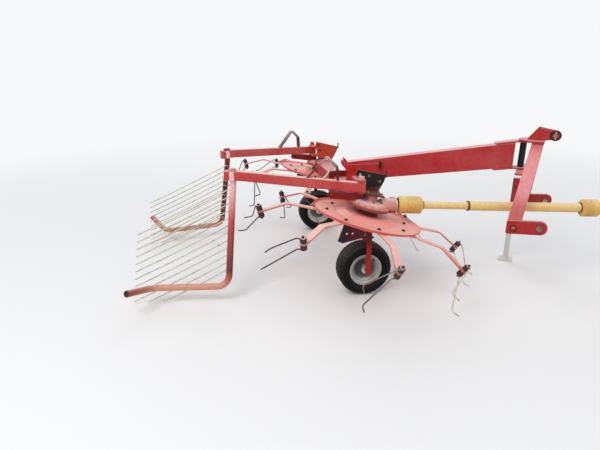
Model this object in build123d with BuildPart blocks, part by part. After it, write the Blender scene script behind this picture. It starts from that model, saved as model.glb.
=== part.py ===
"""Hay tedder with two tilted rotors, swath gates and a swinging three-point headstock.

Millimetres and degrees. +X is the driving direction, +Y is the machine's left and +Z is up.
The origin is on the ground, under the middle between the two rotors.
"Near" is the right-hand side, at negative Y, and "far" is the left-hand side.
"""
from build123d import *
import os
from math import atan2, cos, radians, sin

os.makedirs("parts", exist_ok=True)

# Rotors: place and lean
rotor_spacing = 1490.0
rotor_x = -37.0
rotor_height = 596.0
rotor_tilt = 14.0
running_gap = 0.3

# Rotor disc: a pressed sheet with a raised rim and a raised middle
disc_radius = 397.0
disc_sheet = 6.0
rim_lip_width = 16.0
rim_lip_height = 14.0
crown_foot_radius = 225.0
crown_radius = 160.0
crown_height = 24.0
hub_radius = 62.0
hub_depth = 46.0
boss_radius = 76.0
boss_height = 39.0
column_radius = 30.0

# Tine arms: flat bars under the disc
arm_count = 8
arm_phase = -2.33
arm_interleave = 180.0 / arm_count
arm_width = 46.0
arm_thickness = 10.0
arm_root_radius = 236.0
arm_bend_radius = 590.0
arm_bend_fillet = 60.0
arm_droop = 92.0
head_radius = 763.0

# Spring tines: a coil above and a coil below each arm end, each with one long wire
coil_radius = 22.0
coil_bore = 13.0
coil_turns = 4
coil_pitch = 9.0
coil_groove = 2.5
wire_radius = 4.5
wire_bend = 22.0
lower_wire_out = 52.0
lower_wire_trail = 185.0
lower_wire_drop = 217.0
lower_tip_out = 53.0
lower_tip_drop = 12.0
upper_wire_out = 22.0
upper_wire_trail = 205.0
upper_wire_drop = 108.0
upper_tip_out = 58.0
upper_tip_drop = 20.0
coil_bolt_radius = 8.0
coil_washer_radius = 17.0
coil_washer_thickness = 4.0

# Gearboxes on top of the discs
casing_gap = 6.0
casing_radius = 143.0
casing_flange = 28.0
casing_step = 13.0
casing_height = 56.0
casing_crown_radius = 96.0
casing_crown_drop = 5.0
casing_bulge = 6.0
neck_radius = 50.0
neck_start = 90.0
input_neck_radius = 55.0
input_neck_start = 105.0
input_neck_gap = 31.0
input_above_rim = 76.0
post_radius = 44.0

# Cross tube between the gearboxes
cross_tube_x = -37.0
cross_tube_above_rim = 106.0
cross_tube_depth = 130.0
cross_tube_section_height = 90.0
cross_tube_wall = 8.0
cross_flange = 12.0
cross_flange_margin = 8.0
casing_end_gap = 5.0

# Towers that carry the gate arms
tower_rise = 170.0
tower_plate_rear = 125.0
tower_plate_front = 98.0
tower_plate_foot = 140.0
tower_plate_waist = 98.0
tower_plate_height = 143.0
tower_plate_offset = 85.0
tower_plate_thickness = 12.0
tower_shelf_thickness = 12.0
tower_shelf_length = 140.0
tower_shelf_width = 140.0
pivot_lug_radius = 32.0
pivot_lug_thickness = 12.0

# Gate arms
arm_pivot_x = -95.0
arm_pivot_y = 790.0
gate_stub_x = -965.0
gate_stub_y = 443.0
gate_arm_above_rim = 274.0
gate_arm_end_lift = 50.0
gate_arm_level = 60.0
gate_arm_height = 70.0
gate_arm_width = 50.0
gate_arm_corner = 6.0
gate_arm_overrun = 58.0
gate_arm_root = 30.0
pivot_pin_radius = 12.0
pivot_knob_radius = 20.0
pivot_knob_height = 26.0

# Hoop on each gate arm: a flat bar bent over the arm
hoop_width = 40.0
hoop_thickness = 13.0
hoop_rear = 400.0
hoop_peak = 245.0
hoop_shoulder = 172.0
hoop_front = 165.0
hoop_peak_height = 170.0
hoop_shoulder_height = 102.0
hoop_bend = 14.0

# Gates: a bent tube with a row of long wire tines
gate_tube_radius = 24.0
gate_cap_height = 18.0
gate_clamp_radius = 32.0
gate_clamp_height = 10.0
gate_bend_radius = 90.0
gate_bend_drop = 25.0
gate_foot_height = 128.0
gate_lean_out = 267.0
gate_lean_back = 85.0
gate_foot_length = 540.0
gate_foot_inset = 86.0
gate_toe_length = 140.0
gate_toe_out = 134.0
gate_toe_lift = 78.0
gate_tine_count = 12
gate_tine_top = 790.0
gate_tine_bottom = 235.0
gate_tine_length = 780.0
gate_tine_slope = 24.0
gate_tine_radius = 4.0
gate_tine_floor = 16.0

# Wheels
tyre_radius = 203.0
tyre_width = 165.0
tyre_shoulder = 42.0
rim_radius = 122.0
tread_edge = 26.0
rim_half_width = 62.0
rim_steps = ((62.0, 111.0), (47.0, 105.0), (43.0, 91.0), (20.0, 80.0), (11.0, 48.0), (11.0, 30.0))
wheel_hub_half = 55.0
axle_radius = 12.5
wheel_x = -44.0

# Wheel legs and their adjusting brackets
leg_clearance = 20.0
leg_width = 35.0
leg_thickness = 14.0
leg_top_drop = 34.0
axle_overrun = 15.0
column_length = 112.0
column_foot_length = 120.0
column_foot_overrun = 50.0
column_foot_thickness = 10.0
bracket_outline = (
    (-212.0, -19.0), (-181.0, -36.0), (-40.0, -10.0), (0.0, -50.0),
    (38.0, -50.0), (38.0, 80.0), (-157.0, 136.0),
)
bracket_hole_radius = 9.0
bracket_hole_rise = 30.0
bracket_hole_first = 64.0
bracket_hole_step = 42.0
bracket_hole_count = 3

# Main beam
pivot_x = 1157.0
pivot_y = -751.0
beam_rear_x = -20.0
beam_rear_y = -200.0
beam_rear_height = 154.0
beam_climb = 193.0
beam_front_height = 186.0
beam_width = 90.0
beam_corner = 8.0
beam_front_gap = 62.0
ear_thickness = 11.0
ear_overlap = 130.0
rear_plate_length = 275.0
rear_plate_height = 105.0
rear_plate_thickness = 10.0
rear_plate_overrun = 45.0
rear_plate_horn = 25.0
rear_plate_dip = 22.0
rear_plate_tail = 40.0
rear_plate_foot_start = -10.0
rear_plate_foot_end = 60.0
rear_plate_notch = 20.0
rear_plate_notch_drop = 90.0

# Saddle plates that carry the beam's foot round the cross tube
saddle_rear = 48.0
saddle_front = 62.0
saddle_thickness = 12.0
saddle_corner = 14.0
saddle_plates = ((-84.0, 32.0, 53.0), (-324.0, 17.0, -2.0))

# Headstock
headstock_heading = -40.2
king_radius = 22.5
king_pin_radius = 15.0
king_washer_radius = 34.0
king_washer_thickness = 3.0
seat_gap = 0.3
mast_x = 200.0
top_pin_above_base = 38.0
top_pin_radius = 12.7
top_pin_overrun = 12.0
top_gap = 52.0
top_plate_thickness = 12.0
base_plate_thickness = 12.0
base_plate_rear = 35.0
base_plate_middle = 40.0
base_plate_front = 138.0
base_plate_margin = 20.0
cheek_foot_x = 20.0
cheek_top_x = 85.0
cheek_top = 50.0
cheek_nose = 30.0
lower_pin_x = 200.0
lower_pin_height = 577.0
lower_pin_spacing = 825.0
lower_pin_radius = 14.0
lower_pin_length = 72.0
lower_pin_head_radius = 21.0
lower_pin_head = 8.0
lug_height = 95.0
lug_thickness = 30.0
lug_bolt_x = 39.0
lug_corner = 14.0
lug_sag = 22.0
leg_top_x = 97.0
leg_top_y = 78.0
headstock_leg_width = 90.0
headstock_leg_top_width = 76.0
headstock_leg_depth = 36.0
cross_bar_width = 96.0
cross_bar_x = 30.0

# Parking stand on the headstock's far leg
stand_outer = 50.0
stand_inner = 40.0
stand_sleeve_length = 230.0
stand_foot = 110.0
stand_foot_thickness = 8.0
stand_hole_radius = 7.0
stand_hole_first = 60.0
stand_hole_step = 60.0
stand_hole_count = 4

# Drive shaft
pto_joint_x = 215.0
pto_yaw = -10.5
pto_pitch = 1.7
cross_radius = 9.0
cross_half = 31.0
yoke_inner = 19.0
stub_radius = 17.5
bell_radius = 64.0
bell_throat = 52.0
bell_length = 166.0
front_bell_length = 115.0
bell_wall = 4.0
bell_mouth = 12.0
bell_nose = 16.0
bell_nose_drop = 20.0
bell_rib_first = 44.0
bell_rib_pitch = 13.0
bell_rib_depth = 3.0
yoke_mouth = 16.0
yoke_thickness = 30.0
yoke_floor = 36.0
yoke_neck = 70.0
yoke_stem = 18.0
inner_guard_radius = 27.0
outer_guard_radius = 34.0
guard_step = 495.0
front_joint = 1450.0
spline_hub_radius = 30.0
spline_hub_end = 106.0
spline_radius = 17.5
spline_depth = 76.0

tilt = radians(rotor_tilt)
rotor_axis = Vector(sin(tilt), 0, cos(tilt))
rotor_forward = Vector(cos(tilt), 0, -sin(tilt))
rotor_left = Vector(0, 1, 0)
rotor_y = rotor_spacing / 2
sides = {"near": -1, "far": 1}
coil_length = coil_turns * coil_pitch
gate_tine_stand_off = 1.09
gate_tine_inboard = (gate_tube_radius + gate_tine_radius) * gate_tine_stand_off
input_height = rotor_height + input_above_rim
cross_tube_height = rotor_height + cross_tube_above_rim
cross_tube_top = cross_tube_height + cross_tube_section_height / 2
cross_tube_half = rotor_y - casing_radius - casing_end_gap
gate_arm_top = rotor_height + gate_arm_above_rim
beam_rear_top = cross_tube_top + beam_rear_height
beam_front_top = beam_rear_top + beam_climb


def upright(frame, across=0.0):
    """Plane along a frame's forward and up directions, moved to its left by across."""
    return Plane(origin=frame.origin + frame.y_dir * across, x_dir=frame.x_dir, z_dir=-frame.y_dir)


def facing(frame, along=0.0):
    """Plane across a frame, moved forward by along: local x is to the left and local y is up."""
    return Plane(origin=frame.origin + frame.x_dir * along, x_dir=frame.y_dir, z_dir=frame.x_dir)


def rotor_frame(side, rise=0.0):
    """Plane across a rotor's axis, raised along it from the disc's rim."""
    centre = Vector(rotor_x, side * rotor_y, rotor_height) + rotor_axis * rise
    return Plane(origin=centre, x_dir=rotor_forward, z_dir=rotor_axis)


def radial_plane(side, angle):
    """Plane that holds a rotor's axis: local x runs outward at an angle and local y up the axis."""
    turn = radians(angle)
    outward = rotor_forward * cos(turn) + rotor_left * sin(turn)
    onward = rotor_left * cos(turn) - rotor_forward * sin(turn)
    return Plane(origin=rotor_frame(side).origin, x_dir=outward, z_dir=-onward)


def arm_angle(side, index):
    """Direction of one tine arm. The far rotor is a mirror image, half a step further on."""
    angle = arm_phase + 360.0 / arm_count * index
    if side < 0:
        return angle
    return -(angle + arm_interleave)


def tine_point(side, index, out, trail, rise):
    """Point beside one arm: out from the rotor's axis, trail behind the arm, rise up the axis."""
    turn = radians(arm_angle(side, index))
    outward = rotor_forward * cos(turn) + rotor_left * sin(turn)
    behind = (rotor_forward * sin(turn) - rotor_left * cos(turn)) * -side
    return rotor_frame(side).origin + outward * out + behind * trail + rotor_axis * rise


# Heights along the rotor's axis, from the rim plane
arm_top = -disc_sheet / 2
head_rise = arm_top - arm_thickness / 2 - arm_droop
crown_top = crown_height + disc_sheet / 2
casing_bottom = crown_top + boss_height + casing_gap
casing_top = casing_bottom + casing_height
crown_edge = casing_top - casing_crown_drop
column_bottom = -column_length

# Rotors
for name, side in sides.items():
    with BuildPart() as disc:
        with BuildSketch(radial_plane(side, 0)):
            with BuildLine():
                Polyline(
                    (column_radius + running_gap, crown_top + boss_height),
                    (boss_radius, crown_top + boss_height),
                    (boss_radius, crown_top),
                    (crown_radius, crown_top),
                    (crown_foot_radius, disc_sheet / 2),
                    (disc_radius - rim_lip_width, disc_sheet / 2),
                    (disc_radius, disc_sheet / 2 + rim_lip_height),
                    (disc_radius, -disc_sheet / 2 + rim_lip_height),
                    (disc_radius - rim_lip_width + disc_sheet / 2, -disc_sheet / 2),
                    (crown_foot_radius - disc_sheet / 2, -disc_sheet / 2),
                    (crown_radius - disc_sheet / 2, crown_height - disc_sheet / 2),
                    (hub_radius, crown_height - disc_sheet / 2),
                    (hub_radius, crown_height - disc_sheet / 2 - hub_depth),
                    (column_radius + running_gap, crown_height - disc_sheet / 2 - hub_depth),
                    close=True,
                )
            make_face()
        revolve(axis=Axis(rotor_frame(side).origin, rotor_axis), revolution_arc=360)
    disc.part.label = name + "_rotor_disc"
    export_step(disc.part, "parts/" + disc.part.label + ".step")

    arm_slope = atan2(arm_droop, head_radius - arm_bend_radius)
    with BuildPart() as arms:
        for index in range(arm_count):
            turn = radians(arm_angle(side, index))
            outward = rotor_forward * cos(turn) + rotor_left * sin(turn)
            bar_up = rotor_axis * cos(arm_slope) + outward * sin(arm_slope)
            bar_out = outward * cos(arm_slope) - rotor_axis * sin(arm_slope)
            head = Plane(origin=tine_point(side, index, head_radius, 0, head_rise), x_dir=bar_out, z_dir=bar_up)
            with BuildSketch(radial_plane(side, arm_angle(side, index))):
                with BuildLine():
                    FilletPolyline(
                        (arm_root_radius, arm_top - arm_thickness / 2),
                        (arm_bend_radius, arm_top - arm_thickness / 2),
                        (head_radius, head_rise),
                        radius=arm_bend_fillet,
                    )
                trace(line_width=arm_thickness)
            extrude(amount=arm_width / 2, both=True)
            with BuildSketch(head):
                Circle(arm_width / 2)
            extrude(amount=arm_thickness / 2, both=True)
            bolt_half = arm_thickness / 2 + coil_length + 2 * running_gap
            with BuildSketch(head):
                Circle(coil_bolt_radius)
            extrude(amount=bolt_half + coil_washer_thickness, both=True)
            for washer in (bolt_half, -bolt_half - coil_washer_thickness):
                with BuildSketch(head.offset(washer)):
                    Circle(coil_washer_radius)
                extrude(amount=coil_washer_thickness)
    arms.part.label = name + "_rotor_arms"
    export_step(arms.part, "parts/" + arms.part.label + ".step")

    with BuildPart() as tines:
        for index in range(arm_count):
            turn = radians(arm_angle(side, index))
            outward = rotor_forward * cos(turn) + rotor_left * sin(turn)
            bar_up = rotor_axis * cos(arm_slope) + outward * sin(arm_slope)
            bar_out = outward * cos(arm_slope) - rotor_axis * sin(arm_slope)
            head = tine_point(side, index, head_radius, 0, head_rise)
            wires = (
                (1, upper_wire_out, upper_wire_trail, upper_wire_drop, upper_tip_out, upper_tip_drop),
                (-1, lower_wire_out, lower_wire_trail, lower_wire_drop, lower_tip_out, lower_tip_drop),
            )
            for up, out, trail, drop, tip_out, tip_drop in wires:
                seat = head + bar_up * (up * (arm_thickness / 2 + running_gap))
                section = Plane(origin=seat, x_dir=bar_out, z_dir=bar_out.cross(bar_up * up))
                outline = [(coil_bore, 0)]
                for turn_count in range(coil_turns):
                    outline.append((coil_radius - coil_groove, coil_pitch * turn_count))
                    outline.append((coil_radius, coil_pitch * (turn_count + 0.5)))
                outline.append((coil_radius - coil_groove, coil_length))
                outline.append((coil_bore, coil_length))
                with BuildSketch(section):
                    with BuildLine():
                        Polyline(*outline, close=True)
                    make_face()
                revolve(axis=Axis(seat, bar_up * up), revolution_arc=360)
                start = seat + bar_up * (up * (coil_length - wire_radius - running_gap))
                behind = (rotor_forward * sin(turn) - rotor_left * cos(turn)) * -side
                leave = start + behind * (coil_radius - wire_radius)
                bend = head + outward * out + behind * trail - rotor_axis * drop
                tip = bend + outward * tip_out - rotor_axis * tip_drop
                with BuildLine():
                    route = FilletPolyline(leave, bend, tip, radius=wire_bend)
                with BuildSketch(Plane(origin=leave, z_dir=(bend - leave).normalized())):
                    Circle(wire_radius)
                sweep(path=route)
    tines.part.label = name + "_rotor_tines"
    export_step(tines.part, "parts/" + tines.part.label + ".step")

# Gearboxes, with the fixed column that carries each wheel
for name, side in sides.items():
    with BuildPart() as gearbox:
        with BuildSketch(radial_plane(side, 0)):
            with BuildLine():
                Polyline(
                    (0, column_bottom),
                    (column_radius, column_bottom),
                    (column_radius, casing_bottom),
                    (casing_radius, casing_bottom),
                    (casing_radius, casing_bottom + casing_flange),
                    (casing_radius - casing_step, casing_bottom + casing_flange),
                )
                dome = Line(
                    (casing_radius - casing_step, casing_bottom + casing_flange),
                    (casing_crown_radius, crown_edge),
                    mode=Mode.PRIVATE,
                )
                ThreePointArc(dome @ 0, dome @ 0.5 + Vector(casing_bulge, casing_bulge), dome @ 1)
                Polyline(
                    (casing_crown_radius, crown_edge),
                    (post_radius, casing_top),
                    (post_radius, tower_rise),
                    (0, tower_rise),
                    (0, column_bottom),
                )
            make_face()
        revolve(axis=Axis(rotor_frame(side).origin, rotor_axis), revolution_arc=360)
        neck_y = rotor_y - neck_start
        inboard = Plane(origin=(cross_tube_x, side * neck_y, cross_tube_height), z_dir=(0, -side, 0))
        with BuildSketch(inboard):
            Circle(neck_radius)
        extrude(amount=neck_y - cross_tube_half)
        if side < 0:
            forward = Plane(origin=(rotor_x + input_neck_start, side * rotor_y, input_height), z_dir=(1, 0, 0))
            with BuildSketch(forward):
                Circle(input_neck_radius)
            extrude(amount=pto_joint_x - input_neck_gap - forward.origin.X)
            with BuildSketch(forward):
                Circle(stub_radius)
            extrude(amount=pto_joint_x - forward.origin.X)
            joint = Plane(origin=(pto_joint_x, side * rotor_y, input_height - cross_half))
            with BuildSketch(joint):
                Circle(cross_radius)
            extrude(amount=2 * cross_half)
    gearbox.part.label = name + "_gearbox"
    export_step(gearbox.part, "parts/" + gearbox.part.label + ".step")

# Cross tube
with BuildPart() as cross_tube:
    tube_end = Plane(origin=(cross_tube_x, -cross_tube_half, cross_tube_height), z_dir=(0, 1, 0))
    flange_size = (cross_tube_section_height + 2 * cross_flange_margin, cross_tube_depth + 2 * cross_flange_margin)
    with BuildSketch(tube_end):
        Rectangle(cross_tube_section_height, cross_tube_depth)
        Rectangle(cross_tube_section_height - 2 * cross_tube_wall, cross_tube_depth - 2 * cross_tube_wall,
                  mode=Mode.SUBTRACT)
    extrude(amount=2 * cross_tube_half)
    for offset in (0, 2 * cross_tube_half - cross_flange):
        with BuildSketch(tube_end.offset(offset)):
            Rectangle(*flange_size)
        extrude(amount=cross_flange)
cross_tube.part.label = "cross_tube"
export_step(cross_tube.part, "parts/cross_tube.step")

# Towers
arm_bottom = gate_arm_top - gate_arm_height
for name, side in sides.items():
    with BuildPart() as tower:
        shelf = rotor_frame(side, tower_rise)
        with BuildSketch(shelf):
            with Locations((0, side * (tower_shelf_width / 2 - tower_plate_offset))):
                Rectangle(tower_shelf_length, tower_shelf_width)
        extrude(amount=tower_shelf_thickness)
        with BuildSketch(upright(shelf, -side * tower_plate_offset)):
            with BuildLine():
                Polyline(
                    (-tower_plate_foot / 2, 0),
                    (tower_plate_foot / 2, 0),
                    (tower_plate_front, tower_plate_waist),
                    (tower_plate_front, tower_plate_height),
                    (-tower_plate_rear, tower_plate_height),
                    (-tower_plate_rear, tower_plate_waist),
                    close=True,
                )
            make_face()
        extrude(amount=side * tower_plate_thickness)
        plate_y = side * (rotor_y - tower_plate_offset)
        lug_middle = (plate_y + side * arm_pivot_y) / 2
        for height in (arm_bottom - running_gap - pivot_lug_thickness, gate_arm_top + running_gap):
            with BuildSketch(Plane.XY.offset(height)):
                with Locations((arm_pivot_x, lug_middle)):
                    Rectangle(2 * pivot_lug_radius, arm_pivot_y - abs(plate_y))
                with Locations((arm_pivot_x, side * arm_pivot_y)):
                    Circle(pivot_lug_radius)
            extrude(amount=pivot_lug_thickness)
        with BuildSketch(Plane.XY.offset(arm_bottom - running_gap)):
            with Locations((arm_pivot_x, side * arm_pivot_y)):
                Circle(pivot_pin_radius)
        extrude(amount=gate_arm_height + 2 * running_gap)
        with BuildSketch(Plane.XY.offset(gate_arm_top + running_gap + pivot_lug_thickness)):
            with Locations((arm_pivot_x, side * arm_pivot_y)):
                Circle(pivot_knob_radius)
        extrude(amount=pivot_knob_height)
    tower.part.label = name + "_tower"
    export_step(tower.part, "parts/" + tower.part.label + ".step")

# Gate arms, hoops and gates
for name, side in sides.items():
    root = Vector(arm_pivot_x, side * arm_pivot_y, 0)
    end = Vector(gate_stub_x, side * gate_stub_y, 0)
    reach = (end - root).length
    outward = (end - root).normalized()
    arm_frame = Plane(origin=root, x_dir=outward, z_dir=(0, 0, 1))
    end_top = gate_arm_top + gate_arm_end_lift
    with BuildPart() as gate_arm:
        with BuildSketch(upright(arm_frame)):
            with BuildLine():
                Polyline(
                    (-gate_arm_root, arm_bottom),
                    (gate_arm_level, arm_bottom),
                    (reach - gate_arm_level, arm_bottom + gate_arm_end_lift),
                    (reach + gate_arm_overrun, arm_bottom + gate_arm_end_lift),
                    (reach + gate_arm_overrun, end_top),
                    (reach - gate_arm_level, end_top),
                    (gate_arm_level, gate_arm_top),
                    (-gate_arm_root, gate_arm_top),
                    close=True,
                )
            make_face()
        extrude(amount=gate_arm_width / 2, both=True)
        long_edges = gate_arm.edges().filter_by(lambda edge: edge.length > gate_arm_level)
        fillet(long_edges.filter_by(lambda edge: abs(edge.tangent_at(0).dot(arm_frame.y_dir)) < 0.5),
               radius=gate_arm_corner)
        with BuildSketch(arm_frame.offset(arm_bottom)):
            Circle(pivot_pin_radius + running_gap)
            with Locations((reach, 0)):
                Circle(gate_tube_radius + running_gap)
        extrude(amount=gate_arm_height + gate_arm_end_lift, mode=Mode.SUBTRACT)
    gate_arm.part.label = name + "_gate_arm"
    export_step(gate_arm.part, "parts/" + gate_arm.part.label + ".step")

    with BuildPart() as hoop:
        with BuildSketch(upright(arm_frame)):
            with BuildLine():
                FilletPolyline(
                    (hoop_rear, gate_arm_top),
                    (hoop_peak, gate_arm_top + hoop_peak_height),
                    (hoop_shoulder, gate_arm_top + hoop_shoulder_height),
                    (hoop_front, gate_arm_top),
                    radius=hoop_bend,
                )
            trace(line_width=hoop_thickness)
        extrude(amount=hoop_width / 2, both=True)
        with BuildSketch(upright(arm_frame)):
            with BuildLine():
                Polyline(
                    (0, gate_arm_top - gate_arm_height),
                    (gate_arm_level, gate_arm_top),
                    (reach - gate_arm_level, end_top),
                    (reach, gate_arm_top - gate_arm_height),
                    close=True,
                )
            make_face()
        extrude(amount=hoop_width, both=True, mode=Mode.SUBTRACT)
    hoop.part.label = name + "_gate_hoop"
    export_step(hoop.part, "parts/" + hoop.part.label + ".step")

    with BuildPart() as gate_tube:
        post_foot = Vector(gate_stub_x - gate_lean_back, side * (gate_stub_y + gate_lean_out), gate_foot_height)
        points = [
            Vector(gate_stub_x, side * gate_stub_y, end_top + gate_cap_height),
            Vector(gate_stub_x, side * gate_stub_y, end_top - gate_arm_height - gate_bend_drop),
            post_foot,
            post_foot + Vector(-gate_foot_length, -side * gate_foot_inset, 0),
            post_foot + Vector(-gate_foot_length - gate_toe_length, side * gate_toe_out, gate_toe_lift),
        ]
        with BuildLine():
            route = FilletPolyline(*points, radius=gate_bend_radius)
        with BuildSketch(Plane(origin=points[0], z_dir=(0, 0, -1))):
            Circle(gate_tube_radius)
        sweep(path=route)
        with BuildSketch(Plane(origin=points[0] - Vector(0, 0, gate_cap_height - running_gap))):
            Circle(gate_clamp_radius)
        extrude(amount=gate_clamp_height)
    gate_tube.part.label = name + "_gate_tube"
    export_step(gate_tube.part, "parts/" + gate_tube.part.label + ".step")

    with BuildPart() as gate_tines:
        slope = radians(gate_tine_slope)
        rearward = Vector(-cos(slope), 0, -sin(slope))
        upper = points[1]
        for index in range(gate_tine_count):
            height = gate_tine_top + (gate_tine_bottom - gate_tine_top) * index / (gate_tine_count - 1)
            share = (upper.Z - height) / (upper.Z - post_foot.Z)
            beside = Vector(0, -side * gate_tine_inboard, 0)
            length = min(gate_tine_length, (height - gate_tine_floor) / sin(slope))
            with BuildSketch(Plane(origin=upper + (post_foot - upper) * share + beside, z_dir=rearward)):
                Circle(gate_tine_radius)
            extrude(amount=length)
    gate_tines.part.label = name + "_gate_tines"
    export_step(gate_tines.part, "parts/" + gate_tines.part.label + ".step")

# Wheels
for name, side in sides.items():
    wheel_frame = Plane(origin=(wheel_x, side * rotor_y, tyre_radius), x_dir=(1, 0, 0), z_dir=(0, 0, 1))
    spin = Axis(wheel_frame.origin, (0, 1, 0))
    section = Plane(origin=wheel_frame.origin, x_dir=(0, 1, 0), z_dir=(1, 0, 0))
    half = tyre_width / 2
    with BuildPart() as tyre:
        with BuildSketch(section):
            with BuildLine():
                Polyline(
                    (-rim_half_width, rim_radius),
                    (-half, rim_radius + tyre_shoulder),
                    (-half + tread_edge, tyre_radius),
                    (half - tread_edge, tyre_radius),
                    (half, rim_radius + tyre_shoulder),
                    (rim_half_width, rim_radius),
                    close=True,
                )
            make_face()
        revolve(axis=spin, revolution_arc=360)
    tyre.part.label = name + "_tyre"
    export_step(tyre.part, "parts/" + tyre.part.label + ".step")

    with BuildPart() as rim:
        outline = [(wheel_hub_half, axle_radius + running_gap), (wheel_hub_half, rim_steps[-1][1])]
        outline += [step for step in reversed(rim_steps)] + [(rim_half_width, rim_radius)]
        outline += [(-across, radius) for across, radius in reversed(outline)]
        with BuildSketch(section):
            with BuildLine():
                Polyline(*outline, close=True)
            make_face()
        revolve(axis=spin, revolution_arc=360)
    rim.part.label = name + "_rim"
    export_step(rim.part, "parts/" + rim.part.label + ".step")

# Wheel legs with their adjusting brackets
for name, side in sides.items():
    leg_y = side * (rotor_y + tyre_width / 2 + leg_clearance)
    column_end = rotor_frame(side, column_bottom)
    with BuildPart() as leg:
        flank = Plane(origin=(wheel_x, leg_y, tyre_radius), x_dir=(1, 0, 0), z_dir=(0, -1, 0))
        column_foot = flank.to_local_coords(column_end.origin)
        leg_top = column_foot.Y - leg_top_drop
        with BuildSketch(flank):
            with Locations((0, leg_top / 2)):
                Rectangle(leg_width, leg_top)
            Circle(leg_width / 2)
            with BuildLine():
                Polyline(*[(column_foot.X + along, column_foot.Y + up) for along, up in bracket_outline],
                         close=True)
            make_face()
            for index in range(bracket_hole_count):
                hole_x = column_foot.X - bracket_hole_first - bracket_hole_step * index
                with Locations((hole_x, column_foot.Y + bracket_hole_rise)):
                    Circle(bracket_hole_radius, mode=Mode.SUBTRACT)
        extrude(amount=-side * leg_thickness)
        foot_width = abs(leg_y) - rotor_y + column_foot_overrun
        with BuildSketch(column_end):
            with Locations((0, side * (foot_width / 2 - column_foot_overrun))):
                Rectangle(column_foot_length, foot_width)
        extrude(amount=-column_foot_thickness)
    leg.part.label = name + "_wheel_leg"
    export_step(leg.part, "parts/" + leg.part.label + ".step")

    with BuildPart() as axle:
        with BuildSketch(flank):
            Circle(axle_radius)
        extrude(amount=side * (leg_clearance + tyre_width / 2 + wheel_hub_half + axle_overrun))
    axle.part.label = name + "_axle"
    export_step(axle.part, "parts/" + axle.part.label + ".step")

# Main beam
beam_run = Vector(pivot_x - beam_rear_x, pivot_y - beam_rear_y, 0)
beam_reach = beam_run.length
beam_frame = Plane(origin=(beam_rear_x, beam_rear_y, 0), x_dir=beam_run.normalized(), z_dir=(0, 0, 1))
beam_length = beam_reach - beam_front_gap
with BuildPart() as beam:
    with BuildSketch(upright(beam_frame)):
        with BuildLine():
            Polyline(
                (0, beam_rear_top - beam_rear_height),
                (0, beam_rear_top),
                (beam_length, beam_front_top),
                (beam_length, beam_front_top - beam_front_height),
                close=True,
            )
        make_face()
    extrude(amount=beam_width / 2, both=True)
    fillet(beam.edges().filter_by(lambda edge: edge.length > beam_reach / 2), radius=beam_corner)
beam.part.label = "main_beam"
export_step(beam.part, "parts/main_beam.step")

top_ear = beam_front_top
bottom_ear = beam_front_top - beam_front_height - ear_thickness
beam_top_slope = (beam_front_top - beam_rear_top) / beam_length
beam_bottom_slope = beam_top_slope - (beam_front_height - beam_rear_height) / beam_length
beam_front_bottom = beam_front_top - beam_front_height
with BuildPart() as ears:
    for face, slope, up in ((beam_front_top, beam_top_slope, 1), (beam_front_bottom, beam_bottom_slope, -1)):
        with BuildSketch(upright(beam_frame)):
            with BuildLine():
                Polyline(
                    (beam_length - ear_overlap, face - slope * ear_overlap),
                    (beam_length, face),
                    (beam_reach, face),
                    (beam_reach, face + up * ear_thickness),
                    (beam_length, face + up * ear_thickness),
                    (beam_length - ear_overlap, face - slope * ear_overlap + up * ear_thickness),
                    close=True,
                )
            make_face()
        extrude(amount=beam_width / 2, both=True)
        with BuildSketch(beam_frame.offset(face)):
            with Locations((beam_reach, 0)):
                Circle(beam_width / 2)
        extrude(amount=up * ear_thickness)
        with BuildSketch(beam_frame.offset(face)):
            with Locations((beam_reach, 0)):
                Circle(king_pin_radius + running_gap)
        extrude(amount=up * ear_thickness, mode=Mode.SUBTRACT)
ears.part.label = "beam_ears"
export_step(ears.part, "parts/beam_ears.step")

with BuildPart() as rear_plates:
    for across in (beam_width / 2, -beam_width / 2 - rear_plate_thickness):
        with BuildSketch(upright(beam_frame, across)):
            with BuildLine():
                Polyline(
                    (-rear_plate_overrun, beam_rear_top + rear_plate_horn),
                    (0, beam_rear_top - rear_plate_dip),
                    (rear_plate_length, beam_rear_top),
                    (rear_plate_length, beam_rear_top - rear_plate_height),
                    (rear_plate_foot_end, cross_tube_top),
                    (rear_plate_foot_start, cross_tube_top),
                    (rear_plate_notch, beam_rear_top - rear_plate_notch_drop),
                    (-rear_plate_overrun, beam_rear_top + rear_plate_horn - rear_plate_tail),
                    close=True,
                )
            make_face()
        extrude(amount=-rear_plate_thickness)
rear_plates.part.label = "beam_rear_plates"
export_step(rear_plates.part, "parts/beam_rear_plates.step")

with BuildPart() as saddle:
    cross_tube_bottom = cross_tube_top - cross_tube_section_height
    tube_front = cross_tube_x + cross_tube_depth / 2
    tube_rear = cross_tube_x - cross_tube_depth / 2
    for plate_y, below, above in saddle_plates:
        plate_frame = Plane(origin=(0, plate_y, 0), x_dir=(1, 0, 0), z_dir=(0, -1, 0))
        with BuildSketch(plate_frame) as plate_sketch:
            with BuildLine():
                Polyline(
                    (tube_rear - saddle_rear, cross_tube_bottom - below),
                    (tube_rear - saddle_rear, cross_tube_top + above),
                    (tube_front + saddle_front, cross_tube_top + above),
                    (tube_front + saddle_front, cross_tube_bottom - below),
                    close=True,
                )
            make_face()
            fillet(plate_sketch.vertices(), radius=saddle_corner)
            with Locations((cross_tube_x, cross_tube_height)):
                Rectangle(cross_tube_depth + 2 * running_gap, cross_tube_section_height + 2 * running_gap,
                          mode=Mode.SUBTRACT)
        extrude(amount=saddle_thickness)
saddle.part.label = "beam_saddle"
export_step(saddle.part, "parts/beam_saddle.step")

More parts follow.
